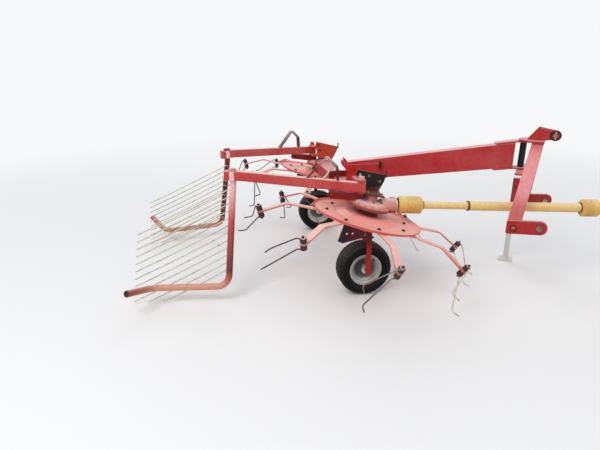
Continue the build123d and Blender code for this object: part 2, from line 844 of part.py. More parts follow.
# Headstock
heading = radians(headstock_heading)
headstock = Plane(origin=(pivot_x, pivot_y, 0), x_dir=(cos(heading), sin(heading), 0), z_dir=(0, 0, 1))
base_bottom = top_ear + ear_thickness + seat_gap
base_top = base_bottom + base_plate_thickness
top_pin_height = base_top + top_pin_above_base
bar_top = bottom_ear - seat_gap - king_washer_thickness
with BuildPart() as king_pin:
    with BuildSketch(headstock.offset(bottom_ear + ear_thickness + seat_gap)):
        Circle(king_radius)
    extrude(amount=top_ear - bottom_ear - ear_thickness - 2 * seat_gap)
    with BuildSketch(headstock.offset(bar_top)):
        Circle(king_pin_radius)
    extrude(amount=base_bottom - bar_top)
    with BuildSketch(headstock.offset(bar_top)):
        Circle(king_washer_radius)
    extrude(amount=king_washer_thickness)
king_pin.part.label = "king_pin"
export_step(king_pin.part, "parts/king_pin.step")

base_half = leg_top_y + headstock_leg_depth / 2 + base_plate_margin
with BuildPart() as top_bracket:
    with BuildSketch(headstock.offset(base_bottom)):
        with BuildLine():
            Polyline(
                (-base_plate_rear, -base_plate_rear),
                (-base_plate_rear, base_plate_rear),
                (base_plate_middle, base_half),
                (base_plate_front, base_half),
                (base_plate_front, -base_half),
                (base_plate_middle, -base_half),
                close=True,
            )
        make_face()
    extrude(amount=base_plate_thickness)
    for across in (top_gap / 2 + top_plate_thickness, -top_gap / 2):
        with BuildSketch(upright(headstock, across)):
            with BuildLine():
                Polyline(
                    (cheek_foot_x, base_top),
                    (cheek_top_x, top_pin_height + cheek_top),
                    (mast_x, top_pin_height + cheek_nose),
                    (mast_x, top_pin_height - cheek_nose),
                    (base_plate_front, base_top),
                    close=True,
                )
            make_face()
        extrude(amount=top_plate_thickness)
        with BuildSketch(upright(headstock, across)):
            with Locations((mast_x, top_pin_height)):
                Circle(cheek_nose)
        extrude(amount=top_plate_thickness)
        with BuildSketch(upright(headstock, across)):
            with Locations((mast_x, top_pin_height)):
                Circle(top_pin_radius + running_gap)
        extrude(amount=top_plate_thickness, mode=Mode.SUBTRACT)
top_bracket.part.label = "top_bracket"
export_step(top_bracket.part, "parts/top_bracket.step")

lug_y = lower_pin_spacing / 2
lug_top = lower_pin_height - lug_sag + lug_height / 2
lug_bottom = lug_top - lug_height
leg_foot_y = lug_y - lug_thickness - headstock_leg_depth / 2
lug_rear = lug_bolt_x - lug_height / 2
head_legs = []
for name, side in sides.items():
    with BuildPart() as head_leg:
        with BuildSketch(headstock.offset(lug_bottom)):
            with Locations((lug_bolt_x, side * leg_foot_y)):
                Rectangle(headstock_leg_width, headstock_leg_depth)
        extrude(amount=lug_height)
        with BuildSketch(headstock.offset(lug_top)):
            with Locations((lug_bolt_x, side * leg_foot_y)):
                Rectangle(headstock_leg_width, headstock_leg_depth)
        with BuildSketch(headstock.offset(base_bottom)):
            with Locations((leg_top_x, side * leg_top_y)):
                Rectangle(headstock_leg_top_width, headstock_leg_depth)
        loft()
    head_leg.part.label = name + "_headstock_leg"
    export_step(head_leg.part, "parts/" + head_leg.part.label + ".step")
    head_legs.append(head_leg.part)

    with BuildPart() as lug:
        with BuildSketch(upright(headstock, side * lug_y)) as lug_sketch:
            with BuildLine():
                Polyline(
                    (lug_rear, lug_bottom),
                    (lug_rear, lug_top),
                    (lower_pin_x, lower_pin_height + lug_height / 2),
                    (lower_pin_x, lower_pin_height - lug_height / 2),
                    close=True,
                )
            make_face()
            fillet(lug_sketch.vertices().group_by(Axis.X)[0], radius=lug_corner)
            with Locations((lower_pin_x, lower_pin_height)):
                Circle(lug_height / 2)
                Circle(lower_pin_radius + running_gap, mode=Mode.SUBTRACT)
        extrude(amount=side * lug_thickness)
    lug.part.label = name + "_lug"
    export_step(lug.part, "parts/" + lug.part.label + ".step")

    with BuildPart() as lower_pin:
        with BuildSketch(upright(headstock, side * lug_y)):
            with Locations((lower_pin_x, lower_pin_height)):
                Circle(lower_pin_radius)
        extrude(amount=side * (lug_thickness + lower_pin_length))
        with BuildSketch(upright(headstock, side * lug_y)):
            with Locations((lower_pin_x, lower_pin_height)):
                Circle(lower_pin_head_radius)
        extrude(amount=-side * lower_pin_head)
    lower_pin.part.label = name + "_lower_pin"
    export_step(lower_pin.part, "parts/" + lower_pin.part.label + ".step")

bar_share = (bar_top - lug_top) / (base_bottom - lug_top)
bar_half = leg_foot_y + (leg_top_y - leg_foot_y) * bar_share
with BuildPart() as cross_bar:
    with BuildSketch(headstock.offset(bar_top - base_plate_thickness)):
        with Locations((cross_bar_x, 0)):
            Rectangle(cross_bar_width, 2 * bar_half)
    extrude(amount=base_plate_thickness)
    for head_leg_part in head_legs:
        add(head_leg_part, mode=Mode.SUBTRACT)
cross_bar.part.label = "headstock_cross_bar"
export_step(cross_bar.part, "parts/headstock_cross_bar.step")

with BuildPart() as top_pin:
    half = top_gap / 2 + top_plate_thickness + top_pin_overrun
    with BuildSketch(upright(headstock, half)):
        with Locations((mast_x, top_pin_height)):
            Circle(top_pin_radius)
    extrude(amount=2 * half)
top_pin.part.label = "top_pin"
export_step(top_pin.part, "parts/top_pin.step")

# Parking stand
stand_x = lug_rear - stand_outer / 2
stand_y = lug_y - lug_thickness / 2
with BuildPart() as sleeve:
    with BuildSketch(headstock.offset(lug_bottom)):
        with Locations((stand_x, stand_y)):
            Rectangle(stand_outer, stand_outer)
            Rectangle(stand_inner + 2 * running_gap, stand_inner + 2 * running_gap, mode=Mode.SUBTRACT)
    extrude(amount=stand_sleeve_length)
sleeve.part.label = "stand_sleeve"
export_step(sleeve.part, "parts/stand_sleeve.step")

with BuildPart() as stand:
    with BuildSketch(headstock):
        with Locations((stand_x, stand_y)):
            Rectangle(stand_foot, stand_foot)
    extrude(amount=stand_foot_thickness)
    with BuildSketch(headstock.offset(stand_foot_thickness)):
        with Locations((stand_x, stand_y)):
            Rectangle(stand_inner, stand_inner)
    extrude(amount=lug_bottom + stand_sleeve_length - stand_foot_thickness)
    for index in range(stand_hole_count):
        with BuildSketch(facing(headstock, stand_x - stand_inner)):
            with Locations((stand_y, stand_hole_first + stand_hole_step * index)):
                Circle(stand_hole_radius)
        extrude(amount=2 * stand_inner, mode=Mode.SUBTRACT)
stand.part.label = "stand_leg"
export_step(stand.part, "parts/stand_leg.step")

# Drive shaft
yaw = radians(pto_yaw)
pitch = radians(pto_pitch)
pto_forward = Vector(cos(yaw) * cos(pitch), sin(yaw) * cos(pitch), -sin(pitch))
pto_left = Vector(-sin(yaw), cos(yaw), 0)
pto_frame = Plane(
    origin=(pto_joint_x, -rotor_y, input_height),
    x_dir=pto_forward, z_dir=pto_forward.cross(pto_left),
)
pto_line = Axis(pto_frame.origin, pto_frame.x_dir)
bells = {
    # name: (joint's place along the shaft, way the mouth points, length, guard's radius in its floor)
    "pto_rear_bell": (0.0, -1, bell_length, inner_guard_radius),
    "pto_front_bell": (front_joint, 1, front_bell_length, outer_guard_radius),
}
for name, (joint_place, mouth_way, length, guard_radius) in bells.items():
    bell_floor = length - bell_wall
    bell_rib_count = int((length - bell_nose - bell_rib_first) / bell_rib_pitch)
    outline = [(-bell_mouth, bell_throat), (-bell_mouth, bell_throat + bell_wall), (0, bell_radius)]
    for index in range(bell_rib_count):
        rib = bell_rib_first + bell_rib_pitch * index
        outline.append((rib, bell_radius))
        outline.append((rib + bell_rib_pitch / 2, bell_radius - bell_rib_depth))
    outline += [
        (length - bell_nose, bell_radius),
        (length, bell_radius - bell_nose_drop),
        (length, guard_radius),
        (bell_floor, guard_radius),
        (bell_floor, bell_radius - bell_nose_drop - bell_wall),
        (bell_floor - bell_nose, bell_radius - bell_wall - bell_rib_depth),
        (bell_wall, bell_radius - bell_wall - bell_rib_depth),
    ]
    with BuildPart() as bell:
        with BuildSketch(upright(pto_frame)):
            with BuildLine():
                Polyline(*[(joint_place - mouth_way * along, radius) for along, radius in outline], close=True)
            make_face()
        revolve(axis=pto_line, revolution_arc=360)
    bell.part.label = name
    export_step(bell.part, "parts/" + name + ".step")



def fork_outline(stem_end):
    """Outline of a yoke from the mouth of its fork to the end of its stem."""
    half_fork = [
        (-yoke_mouth, yoke_inner),
        (-yoke_mouth, cross_half),
        (yoke_floor, cross_half),
        (yoke_neck, yoke_stem),
        (stem_end, yoke_stem),
    ]
    other_half = [(along, -across) for along, across in reversed(half_fork)]
    return half_fork + other_half + [(yoke_floor, -yoke_inner), (yoke_floor, yoke_inner)]


rear_floor = bell_length - bell_wall
front_floor = front_bell_length - bell_wall
with BuildPart() as rear_yoke:
    with BuildSketch(upright(pto_frame)):
        with BuildLine():
            Polyline(*fork_outline(rear_floor), close=True)
        make_face()
    extrude(amount=yoke_thickness / 2, both=True)
    with BuildSketch(Plane(origin=pto_frame.origin)):
        Circle(cross_radius + running_gap)
    extrude(amount=2 * cross_half, both=True, mode=Mode.SUBTRACT)
rear_yoke.part.label = "pto_rear_yoke"
export_step(rear_yoke.part, "parts/pto_rear_yoke.step")

guard_end = front_joint - front_floor
with BuildPart() as inner_guard:
    with BuildSketch(facing(pto_frame, rear_floor)):
        Circle(inner_guard_radius)
    extrude(amount=guard_step - rear_floor)
inner_guard.part.label = "pto_inner_guard"
export_step(inner_guard.part, "parts/pto_inner_guard.step")

with BuildPart() as outer_guard:
    with BuildSketch(facing(pto_frame, guard_step)):
        Circle(outer_guard_radius)
    extrude(amount=guard_end - guard_step)
outer_guard.part.label = "pto_outer_guard"
export_step(outer_guard.part, "parts/pto_outer_guard.step")

front = Plane(
    origin=pto_frame.origin + pto_frame.x_dir * front_joint,
    x_dir=pto_frame.x_dir, z_dir=pto_frame.z_dir,
)
with BuildPart() as front_yoke:
    with BuildSketch(upright(front)):
        with BuildLine():
            Polyline(*[(-along, across) for along, across in fork_outline(front_floor)], close=True)
        make_face()
    extrude(amount=yoke_thickness / 2, both=True)
    with BuildSketch(front):
        with BuildLine():
            Polyline(
                (-yoke_mouth, yoke_inner),
                (-yoke_mouth, cross_half),
                (yoke_floor, cross_half),
                (yoke_floor, -cross_half),
                (-yoke_mouth, -cross_half),
                (-yoke_mouth, -yoke_inner),
                (spline_hub_end - spline_depth, -yoke_inner),
                (spline_hub_end - spline_depth, yoke_inner),
                close=True,
            )
        make_face()
    extrude(amount=yoke_thickness / 2, both=True)
    for cross_plane in (front, upright(front)):
        with BuildSketch(cross_plane):
            Circle(cross_radius)
        extrude(amount=cross_half, both=True)
    with BuildSketch(facing(front, spline_hub_end)):
        Circle(spline_hub_radius)
    extrude(amount=-spline_depth)
    with BuildSketch(facing(front, spline_hub_end)):
        Circle(spline_radius)
    extrude(amount=-spline_depth, mode=Mode.SUBTRACT)
front_yoke.part.label = "pto_front_yoke"
export_step(front_yoke.part, "parts/pto_front_yoke.step")
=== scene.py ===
# %% [markdown]
# # A hay tedder, dressed in Blender
# The solids of the machine come in ready made, each in its true place. This lesson gives them
# their finishes, and adds what a solid model leaves plain: wound spring coils, tyre tread,
# bolts, clips and rings. Everything is in metres, with +X the way the machine drives.

# %% Load the solids
import bpy
import bmesh
from math import atan2, cos, degrees, pi, radians, sin
from mathutils import Matrix, Vector


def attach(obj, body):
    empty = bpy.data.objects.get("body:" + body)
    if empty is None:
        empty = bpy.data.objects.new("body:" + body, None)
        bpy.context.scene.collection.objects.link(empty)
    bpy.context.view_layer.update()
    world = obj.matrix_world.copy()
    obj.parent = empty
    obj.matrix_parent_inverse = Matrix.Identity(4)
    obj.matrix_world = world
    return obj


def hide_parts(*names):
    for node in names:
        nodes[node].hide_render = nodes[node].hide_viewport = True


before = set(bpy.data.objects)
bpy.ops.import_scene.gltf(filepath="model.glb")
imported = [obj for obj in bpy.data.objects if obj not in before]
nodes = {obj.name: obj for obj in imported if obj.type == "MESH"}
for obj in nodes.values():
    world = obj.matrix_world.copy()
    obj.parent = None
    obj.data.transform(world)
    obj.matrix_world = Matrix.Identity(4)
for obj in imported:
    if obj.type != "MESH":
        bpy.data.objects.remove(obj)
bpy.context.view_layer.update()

def show(thing):
    bpy.context.scene.collection.objects.link(thing)
    return thing

# %% [markdown]
# ## Camera
# The camera stands where the photograph was taken: low, near the right-hand rear corner. Its
# place was found from points of the machine, so its turn is given by three angles and its zoom
# by a focal length in pixels of the 600 pixel wide picture.

# %% Camera
camera_place = (-1.1101, -3.7717, 1.6384)
yaw, pitch, roll = 1.3800, -0.3334, -0.0094
focal_pixels = 460.15
picture_width = 600
sensor_width = 36

camera_data = bpy.data.cameras.new("camera")
camera = show(bpy.data.objects.new("camera", camera_data))
camera_data.sensor_width = sensor_width
camera_data.lens = sensor_width * focal_pixels / picture_width
camera_data.clip_end = 200
forward = Vector((cos(pitch) * cos(yaw), cos(pitch) * sin(yaw), sin(pitch)))
level = Vector((sin(yaw), -cos(yaw), 0))
over = level.cross(forward)
right = level * cos(roll) + over * sin(roll)
upward = over * cos(roll) - level * sin(roll)
camera_turn = Matrix((right, upward, -forward)).transposed().to_4x4()
camera.matrix_world = Matrix.Translation(camera_place) @ camera_turn
bpy.context.scene.camera = camera
print("camera lens", round(camera_data.lens, 2), "mm")

# %% [markdown]
# ## Helpers for node trees
# Every material and every geometry tree below is built with the same few calls, so they come
# first: add a node, set or link its sockets, and a handful of shorthands for sums, noise and
# the place of a point.

# %% Helpers for node trees
class Nodes:
    """A node tree with short calls to add a node, set its sockets and join it to others."""
    def __init__(self, tree):
        self.tree = tree

    def add(self, kind, settings=(), **values):
        node = self.tree.nodes.new(kind)
        for name, value in dict(settings).items():
            setattr(node, name, value)
        self.feed(node, **values)
        return node

    def feed(self, node, **values):
        """Sets sockets to numbers or joins them to outputs of other nodes. A socket goes by its
        name, with _ for a blank, or by i and its number."""
        for name, value in values.items():
            numbered = name[0] == "i" and name[1:].isdigit()
            socket = node.inputs[int(name[1:]) if numbered else name.replace("_", " ")]
            if isinstance(value, bpy.types.NodeSocket):
                self.tree.links.new(value, socket)
            else:
                socket.default_value = value

    def first(self, kind, settings=(), **values):
        """The first output of a new node."""
        return self.add(kind, settings, **values).outputs[0]

    def math(self, operation, first, second=0.0, clamp=False):
        settings = {"operation": operation, "use_clamp": clamp}
        return self.first("ShaderNodeMath", settings, i0=first, i1=second)

    def times(self, first, second, clamp=False):
        return self.math("MULTIPLY", first, second, clamp)

    def plus(self, first, second):
        return self.math("ADD", first, second)

    def minus(self, first, second):
        return self.math("SUBTRACT", first, second)

    def mix(self, share, first, second, blend="MIX"):
        settings = {"data_type": "RGBA", "blend_type": blend}
        return self.add("ShaderNodeMix", settings, i0=share, i6=first, i7=second).outputs[2]

    def span(self, value, low, high, start=0.0, end=1.0):
        """Stretches the values from low to high over those from start to end."""
        ends = {"From_Min": low, "From_Max": high, "To_Min": start, "To_Max": end}
        return self.first("ShaderNodeMapRange", Value=value, **ends)

    def noise(self, place, scale, detail=3.0, roughness=0.5):
        looks = {"Scale": scale, "Detail": detail, "Roughness": roughness}
        return self.first("ShaderNodeTexNoise", Vector=place, **looks)

    def place(self):
        return self.add("ShaderNodeTexCoord").outputs["Object"]

    def normal(self):
        return self.add("ShaderNodeNewGeometry").outputs["Normal"]

    def xyz(self, vector=None):
        """The three parts of a vector, or of a point's own place."""
        return self.add("ShaderNodeSeparateXYZ", Vector=vector or self.place()).outputs

    def height(self):
        """How high a point of the piece is, in metres."""
        return self.xyz()["Z"]

    def seen(self):
        """1 on rays that come from the camera, a mirror or glass, and 0 on rays that carry light."""
        path = self.add("ShaderNodeLightPath").outputs
        mirrored = self.math("MAXIMUM", path["Is Glossy Ray"], path["Is Transmission Ray"])
        return self.math("MAXIMUM", path["Is Camera Ray"], mirrored)

def add_sockets(tree, in_out, values):
    """Gives a tree named sockets: a colour for four numbers, and else a plain number."""
    kinds = {tuple: "NodeSocketColor", float: "NodeSocketFloat", int: "NodeSocketInt"}
    for label, value in values.items():
        socket = tree.interface.new_socket(label, in_out=in_out, socket_type=kinds[type(value)])
        socket.default_value = value

def start_material(name):
    material = bpy.data.materials.new(name)
    material.use_nodes = True
    return material, Nodes(material.node_tree), material.node_tree.nodes["Principled BSDF"]

# %% [markdown]
# ## Floor and light
# A plain pale floor, one broad lamp high on the left, a weaker one on the right, one behind, and
# a pale sky. The floor has to look white and still catch a shadow. So it is a little paler to
# the camera than to the light, and further off it melts into a plain glow of the sky's own
# colour, which hides the horizon.

# %% Floor
backdrop = (0.93, 0.94, 0.95, 1.0)
lit_floor = (0.70, 0.70, 0.68, 1)
seen_floor = (0.90, 0.90, 0.89, 1)
half_floor = 60
glow_from, glow_full = 2.6, 7.5

floor_mesh = bpy.data.meshes.new("floor")
corners = [(x * half_floor, y * half_floor, 0) for x, y in ((-1, -1), (1, -1), (1, 1), (-1, 1))]
floor_mesh.from_pydata(corners, [], [(0, 1, 2, 3)])
floor = show(bpy.data.objects.new("floor", floor_mesh))
floor.location.z = -0.001
floor_paint, n, shader = start_material("floor_pale")
n.feed(shader, Base_Color=n.mix(n.seen(), lit_floor, seen_floor), Roughness=0.9, Specular_IOR_Level=0.1)
glow = n.first("ShaderNodeEmission", Color=backdrop, Strength=1.0)
distance = n.add("ShaderNodeVectorMath", {"operation": "LENGTH"}, i0=n.place()).outputs["Value"]
far_off = n.times(n.span(distance, glow_from, glow_full), n.seen())
blended = n.first("ShaderNodeMixShader", i0=far_off, i1=shader.outputs[0], i2=glow)
n.feed(n.tree.nodes["Material Output"], Surface=blended)
floor_mesh.materials.append(floor_paint)

# %% Lamps and sky
def add_lamp(name, place, target_height, size, power):
    data = bpy.data.lights.new(name, "AREA")
    data.size = size
    data.energy = power
    lamp = show(bpy.data.objects.new(name, data))
    lamp.location = place
    toward = Vector((0, 0, target_height)) - Vector(place)
    lamp.rotation_euler = toward.to_track_quat("-Z", "Y").to_euler()

add_lamp("key", (-4.5, -4.5, 6.5), 0.5, 4.0, 300)
add_lamp("fill", (5.5, -4.0, 4.0), 0.5, 5.0, 80)
add_lamp("back", (0.5, 6.5, 5.0), 0.6, 4.0, 110)
sky_light = (0.93, 0.95, 1.0, 1.0)
sky_strength = 0.60
world = bpy.data.worlds.new("sky")
bpy.context.scene.world = world
world.use_nodes = True
n = Nodes(world.node_tree)
n.feed(world.node_tree.nodes["Background"], Color=n.mix(n.seen(), sky_light, backdrop),
       Strength=n.span(n.seen(), 0.0, 1.0, sky_strength, 1.0))
bpy.context.scene.view_settings.view_transform = "Standard"
print("floor, three lamps and a sky")

# %% [markdown]
# ## Shared shader groups
# Weather works on every part in the same ways, so each way is one node group. A group only puts
# out colours, masks and heights; the shader itself stays in each material. "Weather" pales paint
# where it faces the sky, as sun-bleaching and as a painted highlight, breaks its colour up and
# lays dust on it. "Worn Edge" finds corners with a bevel node: where the rounded normal leaves the
# flat one, there is an edge. "Rust" mottles bare steel.

# %% Start a shader group
white = (1.0, 1.0, 1.0, 1.0)
grey = (0.5, 0.5, 0.5, 1.0)
dust_brown = (0.42, 0.36, 0.28, 1.0)

def start_group(name, inputs, outputs):
    tree = bpy.data.node_groups.new(name, "ShaderNodeTree")
    add_sockets(tree, "INPUT", inputs)
    add_sockets(tree, "OUTPUT", {label: white if label == "Color" else 0.0 for label in outputs})
    n = Nodes(tree)
    return tree, n, n.add("NodeGroupInput").outputs, n.add("NodeGroupOutput")

# %% The Weather group
weather, n, given, put = start_group(
    "Weather",
    {"Paint": grey, "Faded": white, "Dust": dust_brown, "Fade": 0.5, "Dusting": 0.3, "Scale": 1.0},
    ("Color", "Roughness", "Height", "Dust Mask"))
place = n.place()
top = n.span(n.xyz(n.normal())["Z"], -0.1, 0.95)
broad = n.noise(place, n.times(given["Scale"], 3.2), 4.0, 0.6)
fine = n.noise(place, n.times(given["Scale"], 38.0), 6.0, 0.65)
patches = n.span(broad, 0.36, 0.66)
# painted highlight: faces toward the sky turn paler, for sunlight on them as well as sun-bleaching
sun_and_highlight = n.plus(n.times(n.math("POWER", top, 2.5), 0.95), n.times(patches, 0.12))
bleach_and_highlight = n.times(given["Fade"], sun_and_highlight, True)
painted = n.mix(bleach_and_highlight, given["Paint"], given["Faded"])
speckle = n.span(fine, 0.25, 0.75, 0.80, 1.12)
shade = n.first("ShaderNodeCombineColor", Red=speckle, Green=speckle, Blue=speckle)
mottled = n.mix(1.0, painted, shade, "MULTIPLY")
settled = n.times(n.math("POWER", top, 2.0), n.span(fine, 0.35, 0.62))
stretched = n.first("ShaderNodeMapping", Vector=place, Scale=(22.0, 22.0, 2.5))
runs = n.times(n.span(n.noise(stretched, 1.0, 3.0, 0.6), 0.52, 0.72), 0.45)
dusty = n.times(given["Dusting"], n.plus(settled, runs), True)
n.feed(put, Color=n.mix(dusty, mottled, given["Dust"]), Dust_Mask=dusty,
       Roughness=n.plus(n.times(bleach_and_highlight, 0.16), n.span(dusty, 0.0, 1.0, 0.36, 0.85)),
       Height=n.plus(n.times(fine, 0.6), dusty))
print("Weather group:", len(weather.nodes), "nodes")

# %% The Worn Edge group
worn_edge, n, given, put = start_group(
    "Worn Edge", {"Width": 0.004, "Strength": 1.0, "Break Up": 40.0}, ("Mask",))
round_normal = n.first("ShaderNodeBevel", {"samples": 4}, Radius=given["Width"])
alike = n.add("ShaderNodeVectorMath", {"operation": "DOT_PRODUCT"}, i0=n.normal(), i1=round_normal)
corner = n.span(alike.outputs["Value"], 0.985, 0.80)
ragged = n.span(n.noise(n.place(), given["Break Up"], 5.0, 0.6), 0.42, 0.6)
n.feed(put, Mask=n.times(n.times(corner, ragged), given["Strength"], True))
print("Worn Edge group:", len(worn_edge.nodes), "nodes")

# %% The Rust group
rust, n, given, put = start_group(
    "Rust",
    {"Steel": (0.3, 0.29, 0.28, 1.0), "Rust": (0.16, 0.06, 0.03, 1.0), "Amount": 0.5, "Scale": 1.0},
    ("Color", "Roughness", "Metallic", "Height"))
fresh_rust = (0.42, 0.20, 0.10, 1)
place = n.place()
blotch = n.noise(place, n.times(given["Scale"], 26.0), 6.0, 0.68)
speck = n.noise(place, n.times(given["Scale"], 170.0), 3.0, 0.5)
low = n.minus(0.66, n.times(given["Amount"], 0.4))
rusty = n.span(n.plus(n.times(blotch, 0.8), n.times(speck, 0.2)), low, n.plus(low, 0.16))
tone = n.mix(n.span(speck, 0.3, 0.7), given["Rust"], n.mix(0.45, given["Rust"], fresh_rust))
n.feed(put, Color=n.mix(rusty, given["Steel"], tone), Height=n.plus(rusty, n.times(speck, 0.5)),
       Roughness=n.span(rusty, 0.0, 1.0, 0.38, 0.86), Metallic=n.span(rusty, 0.0, 1.0, 0.75, 0.05))
print("Rust group:", len(rust.nodes), "nodes")

# %% [markdown]
# ## Finishes
# The machine is a few seasons old. Its red paint is deep on upright faces and pale pink on top,
# where sun-bleaching and a painted highlight both pale it; the discs, arms and gearboxes have
# bleached to salmon; springs and pins are bare, browned steel; the shaft's guards are orange-yellow
# plastic. Each finish is one material, made by a function so that the next part can have its own
# share of paling, dust or wear.

# %% Paint, steel and plastic
worn_through = (0.20, 0.11, 0.09, 1)

def use_group(n, tree, **values):
    return n.add("ShaderNodeGroup", {"node_tree": tree}, **values).outputs

def bump(n, height, strength, distance):
    return n.first("ShaderNodeBump", Height=height, Strength=strength, Distance=distance)

def paint_coat(n, shader, colour, faded, fade, dusting, wear):
    """Weathered paint, its top paled by sun-bleaching and a painted highlight. The colour is three numbers
    or a socket, and fade a number or a socket.
    """
    if not isinstance(colour, bpy.types.NodeSocket):
        colour = (*colour, 1)
    coat = use_group(n, weather, Paint=colour, Faded=(*faded, 1), Fade=fade, Dusting=dusting)
    edge = use_group(n, worn_edge, Strength=wear)
    n.feed(shader, Base_Color=n.mix(edge["Mask"], coat["Color"], worn_through),
           Roughness=coat["Roughness"], Normal=bump(n, coat["Height"], 0.25, 0.0006))
    n.feed(shader, Specular_IOR_Level=0.18, Coat_Weight=0.06, Coat_Roughness=0.25)

def paint(name, colour, faded, fade=0.5, dusting=0.15, wear=0.6):
    material, n, shader = start_material(name)
    paint_coat(n, shader, colour, faded, fade, dusting, wear)
    return material

def bare_steel(name, steel, rust_colour, amount):
    """Rusty steel. The steel is three numbers, or a function that gives a socket."""
    material, n, shader = start_material(name)
    steel = steel(n) if callable(steel) else (*steel, 1)
    skin = use_group(n, rust, Steel=steel, Rust=(*rust_colour, 1), Amount=amount)
    n.feed(shader, Base_Color=skin["Color"], Roughness=skin["Roughness"], Metallic=skin["Metallic"],
           Normal=bump(n, skin["Height"], 0.3, 0.0005))
    return material

def moulded(name, colour, pale_top_colour, roughness, dusting):
    material, n, shader = start_material(name)
    coat = use_group(n, weather, Paint=(*colour, 1), Faded=(*pale_top_colour, 1), Fade=0.6, Dusting=dusting, Scale=1.6)
    n.feed(shader, Base_Color=coat["Color"], Roughness=n.plus(coat["Roughness"], roughness),
           Normal=bump(n, coat["Height"], 0.3, 0.0008))
    return material

# %% The plain finishes
# paint, and its pale top, sun-faded and with a painted highlight; then the shares of that paling, dust and
# wear
red = paint("red_paint", (0.45, 0.018, 0.020), (0.86, 0.45, 0.41), 0.70)
beam_red = paint("beam_paint", (0.47, 0.011, 0.015), (0.90, 0.58, 0.54), 0.75, 0.10)
gate_red = paint("gate_arm_paint", (0.55, 0.050, 0.050), (0.90, 0.60, 0.53), 0.85, 0.10)
casting = paint("casting_paint", (0.60, 0.24, 0.20), (0.92, 0.58, 0.51), 0.8, 0.12, 0.35)
bush_paint = paint("bush_paint", (0.94, 0.60, 0.60), (0.97, 0.78, 0.74), 0.6, 0.03)
orange = paint("orange_paint", (0.50, 0.050, 0.024), (0.80, 0.30, 0.18), 0.5, 0.10)
# painted shade: a darker copy of the red, for the beam's saddle and the rails under the gate arms, which
# sit in shadow
painted_shade_red = paint("shaded_paint", (0.22, 0.009, 0.009), (0.34, 0.07, 0.06), 0.4, 0.08)
black = paint("black_paint", (0.013, 0.012, 0.014), (0.05, 0.045, 0.042), 0.5, 0.15)
# steel, its rust, and the share of rust
zinc = bare_steel("zinc", (0.62, 0.60, 0.55), (0.34, 0.26, 0.18), 0.15)
brown_steel = bare_steel("brown_steel", (0.30, 0.27, 0.24), (0.15, 0.065, 0.035), 0.55)
coil_steel = bare_steel("coil_steel", (0.050, 0.038, 0.044), (0.085, 0.040, 0.032), 0.35)
straw_steel = bare_steel("straw_steel", (0.46, 0.44, 0.32), (0.30, 0.20, 0.10), 0.35)
# plastic, its pale top, sun-bleached and with a painted highlight, then more roughness and dust
guard = moulded("yellow_guard", (0.74, 0.43, 0.095), (0.98, 0.80, 0.38), 0.05, 0.10)
tube_guard = moulded("yellow_tube", (0.84, 0.53, 0.17), (1.0, 0.86, 0.54), 0.05, 0.05)
# painted shade: a dark brown for the grooves of the shaft's bells
groove_shade = moulded("groove_shade", (0.30, 0.145, 0.035), (0.42, 0.24, 0.09), 0.2, 0.2)
print(len(bpy.data.materials), "materials so far")

# %% [markdown]
# Some finishes change over the part itself, so a colour ramp goes in front of the same paint. It
# follows a measure of each point: the height on the legs, the hoops and a gate's tube, which is
# pale at its top and peach along the foot; the distance from the rotor's axis on the arms and
# the disc, whose middle has painted shade; the place along that axis on a gearbox; and the
# distance from the axle on rim and tread. Where one ramp isn't enough, more colours are laid over
# it, each through a mask.

# %% Measures of a point
wheel_x, wheel_height = -0.044, 0.203
rotor_x, rotor_y, rotor_height = -0.037, 0.745, 0.596
lean = radians(14)

def from_middle(n):
    return n.math("ABSOLUTE", n.xyz()["Y"])

def length_of(n, first, second):
    return n.math("SQRT", n.plus(n.times(first, first), n.times(second, second)))

def lean_share(n, xyz, x_share, z_share):
    """How far a point is from the rotor's middle, along a way that is given by two shares."""
    ahead_of, above = n.minus(xyz["X"], rotor_x), n.minus(xyz["Z"], rotor_height)
    return n.plus(n.times(ahead_of, x_share), n.times(above, z_share))

def from_rotor_axis(n):
    """How far a point is from the leaning axis of the rotor on its own side, in metres."""
    sideways = n.minus(from_middle(n), rotor_y)
    return length_of(n, lean_share(n, n.xyz(), cos(lean), -sin(lean)), sideways)

def along_rotor_axis(n):
    """How far a point is up the leaning axis of the rotor from the disc's rim plane, in metres."""
    return lean_share(n, n.xyz(), sin(lean), cos(lean))

def from_axle(n):
    """How far a point is from the axles, which are in line with each other, in metres."""
    xyz = n.xyz()
    return length_of(n, n.minus(xyz["X"], wheel_x), n.minus(xyz["Z"], wheel_height))

# %% Paint that follows a measure
def ramp_of(n, value, stops, reach=1.0):
    """A colour for each value. A stop is a value, from 0 to the reach, and its colour."""
    node = n.add("ShaderNodeValToRGB", Fac=n.math("DIVIDE", value, reach))
    for _ in stops[2:]:
        node.color_ramp.elements.new(0.5)
    for element, (at, *colour) in zip(node.color_ramp.elements, stops):
        element.position = at / reach
        element.color = (*colour, 1)
    return node.outputs["Color"]

def ramp_paint(name, measure, reach, stops, faded, fade, dusting, wear=0.5, layers=()):
    """Paint with a ramp. A layer is (mask, colour), and a mask is a function that gives a socket."""
    material, n, shader = start_material(name)
    colour = ramp_of(n, measure(n), stops, reach)
    for mask, layer in layers:
        colour = n.mix(mask(n), colour, (*layer, 1))
    fade = fade(n) if callable(fade) else fade
    paint_coat(n, shader, colour, faded, fade, dusting, wear)
    return material

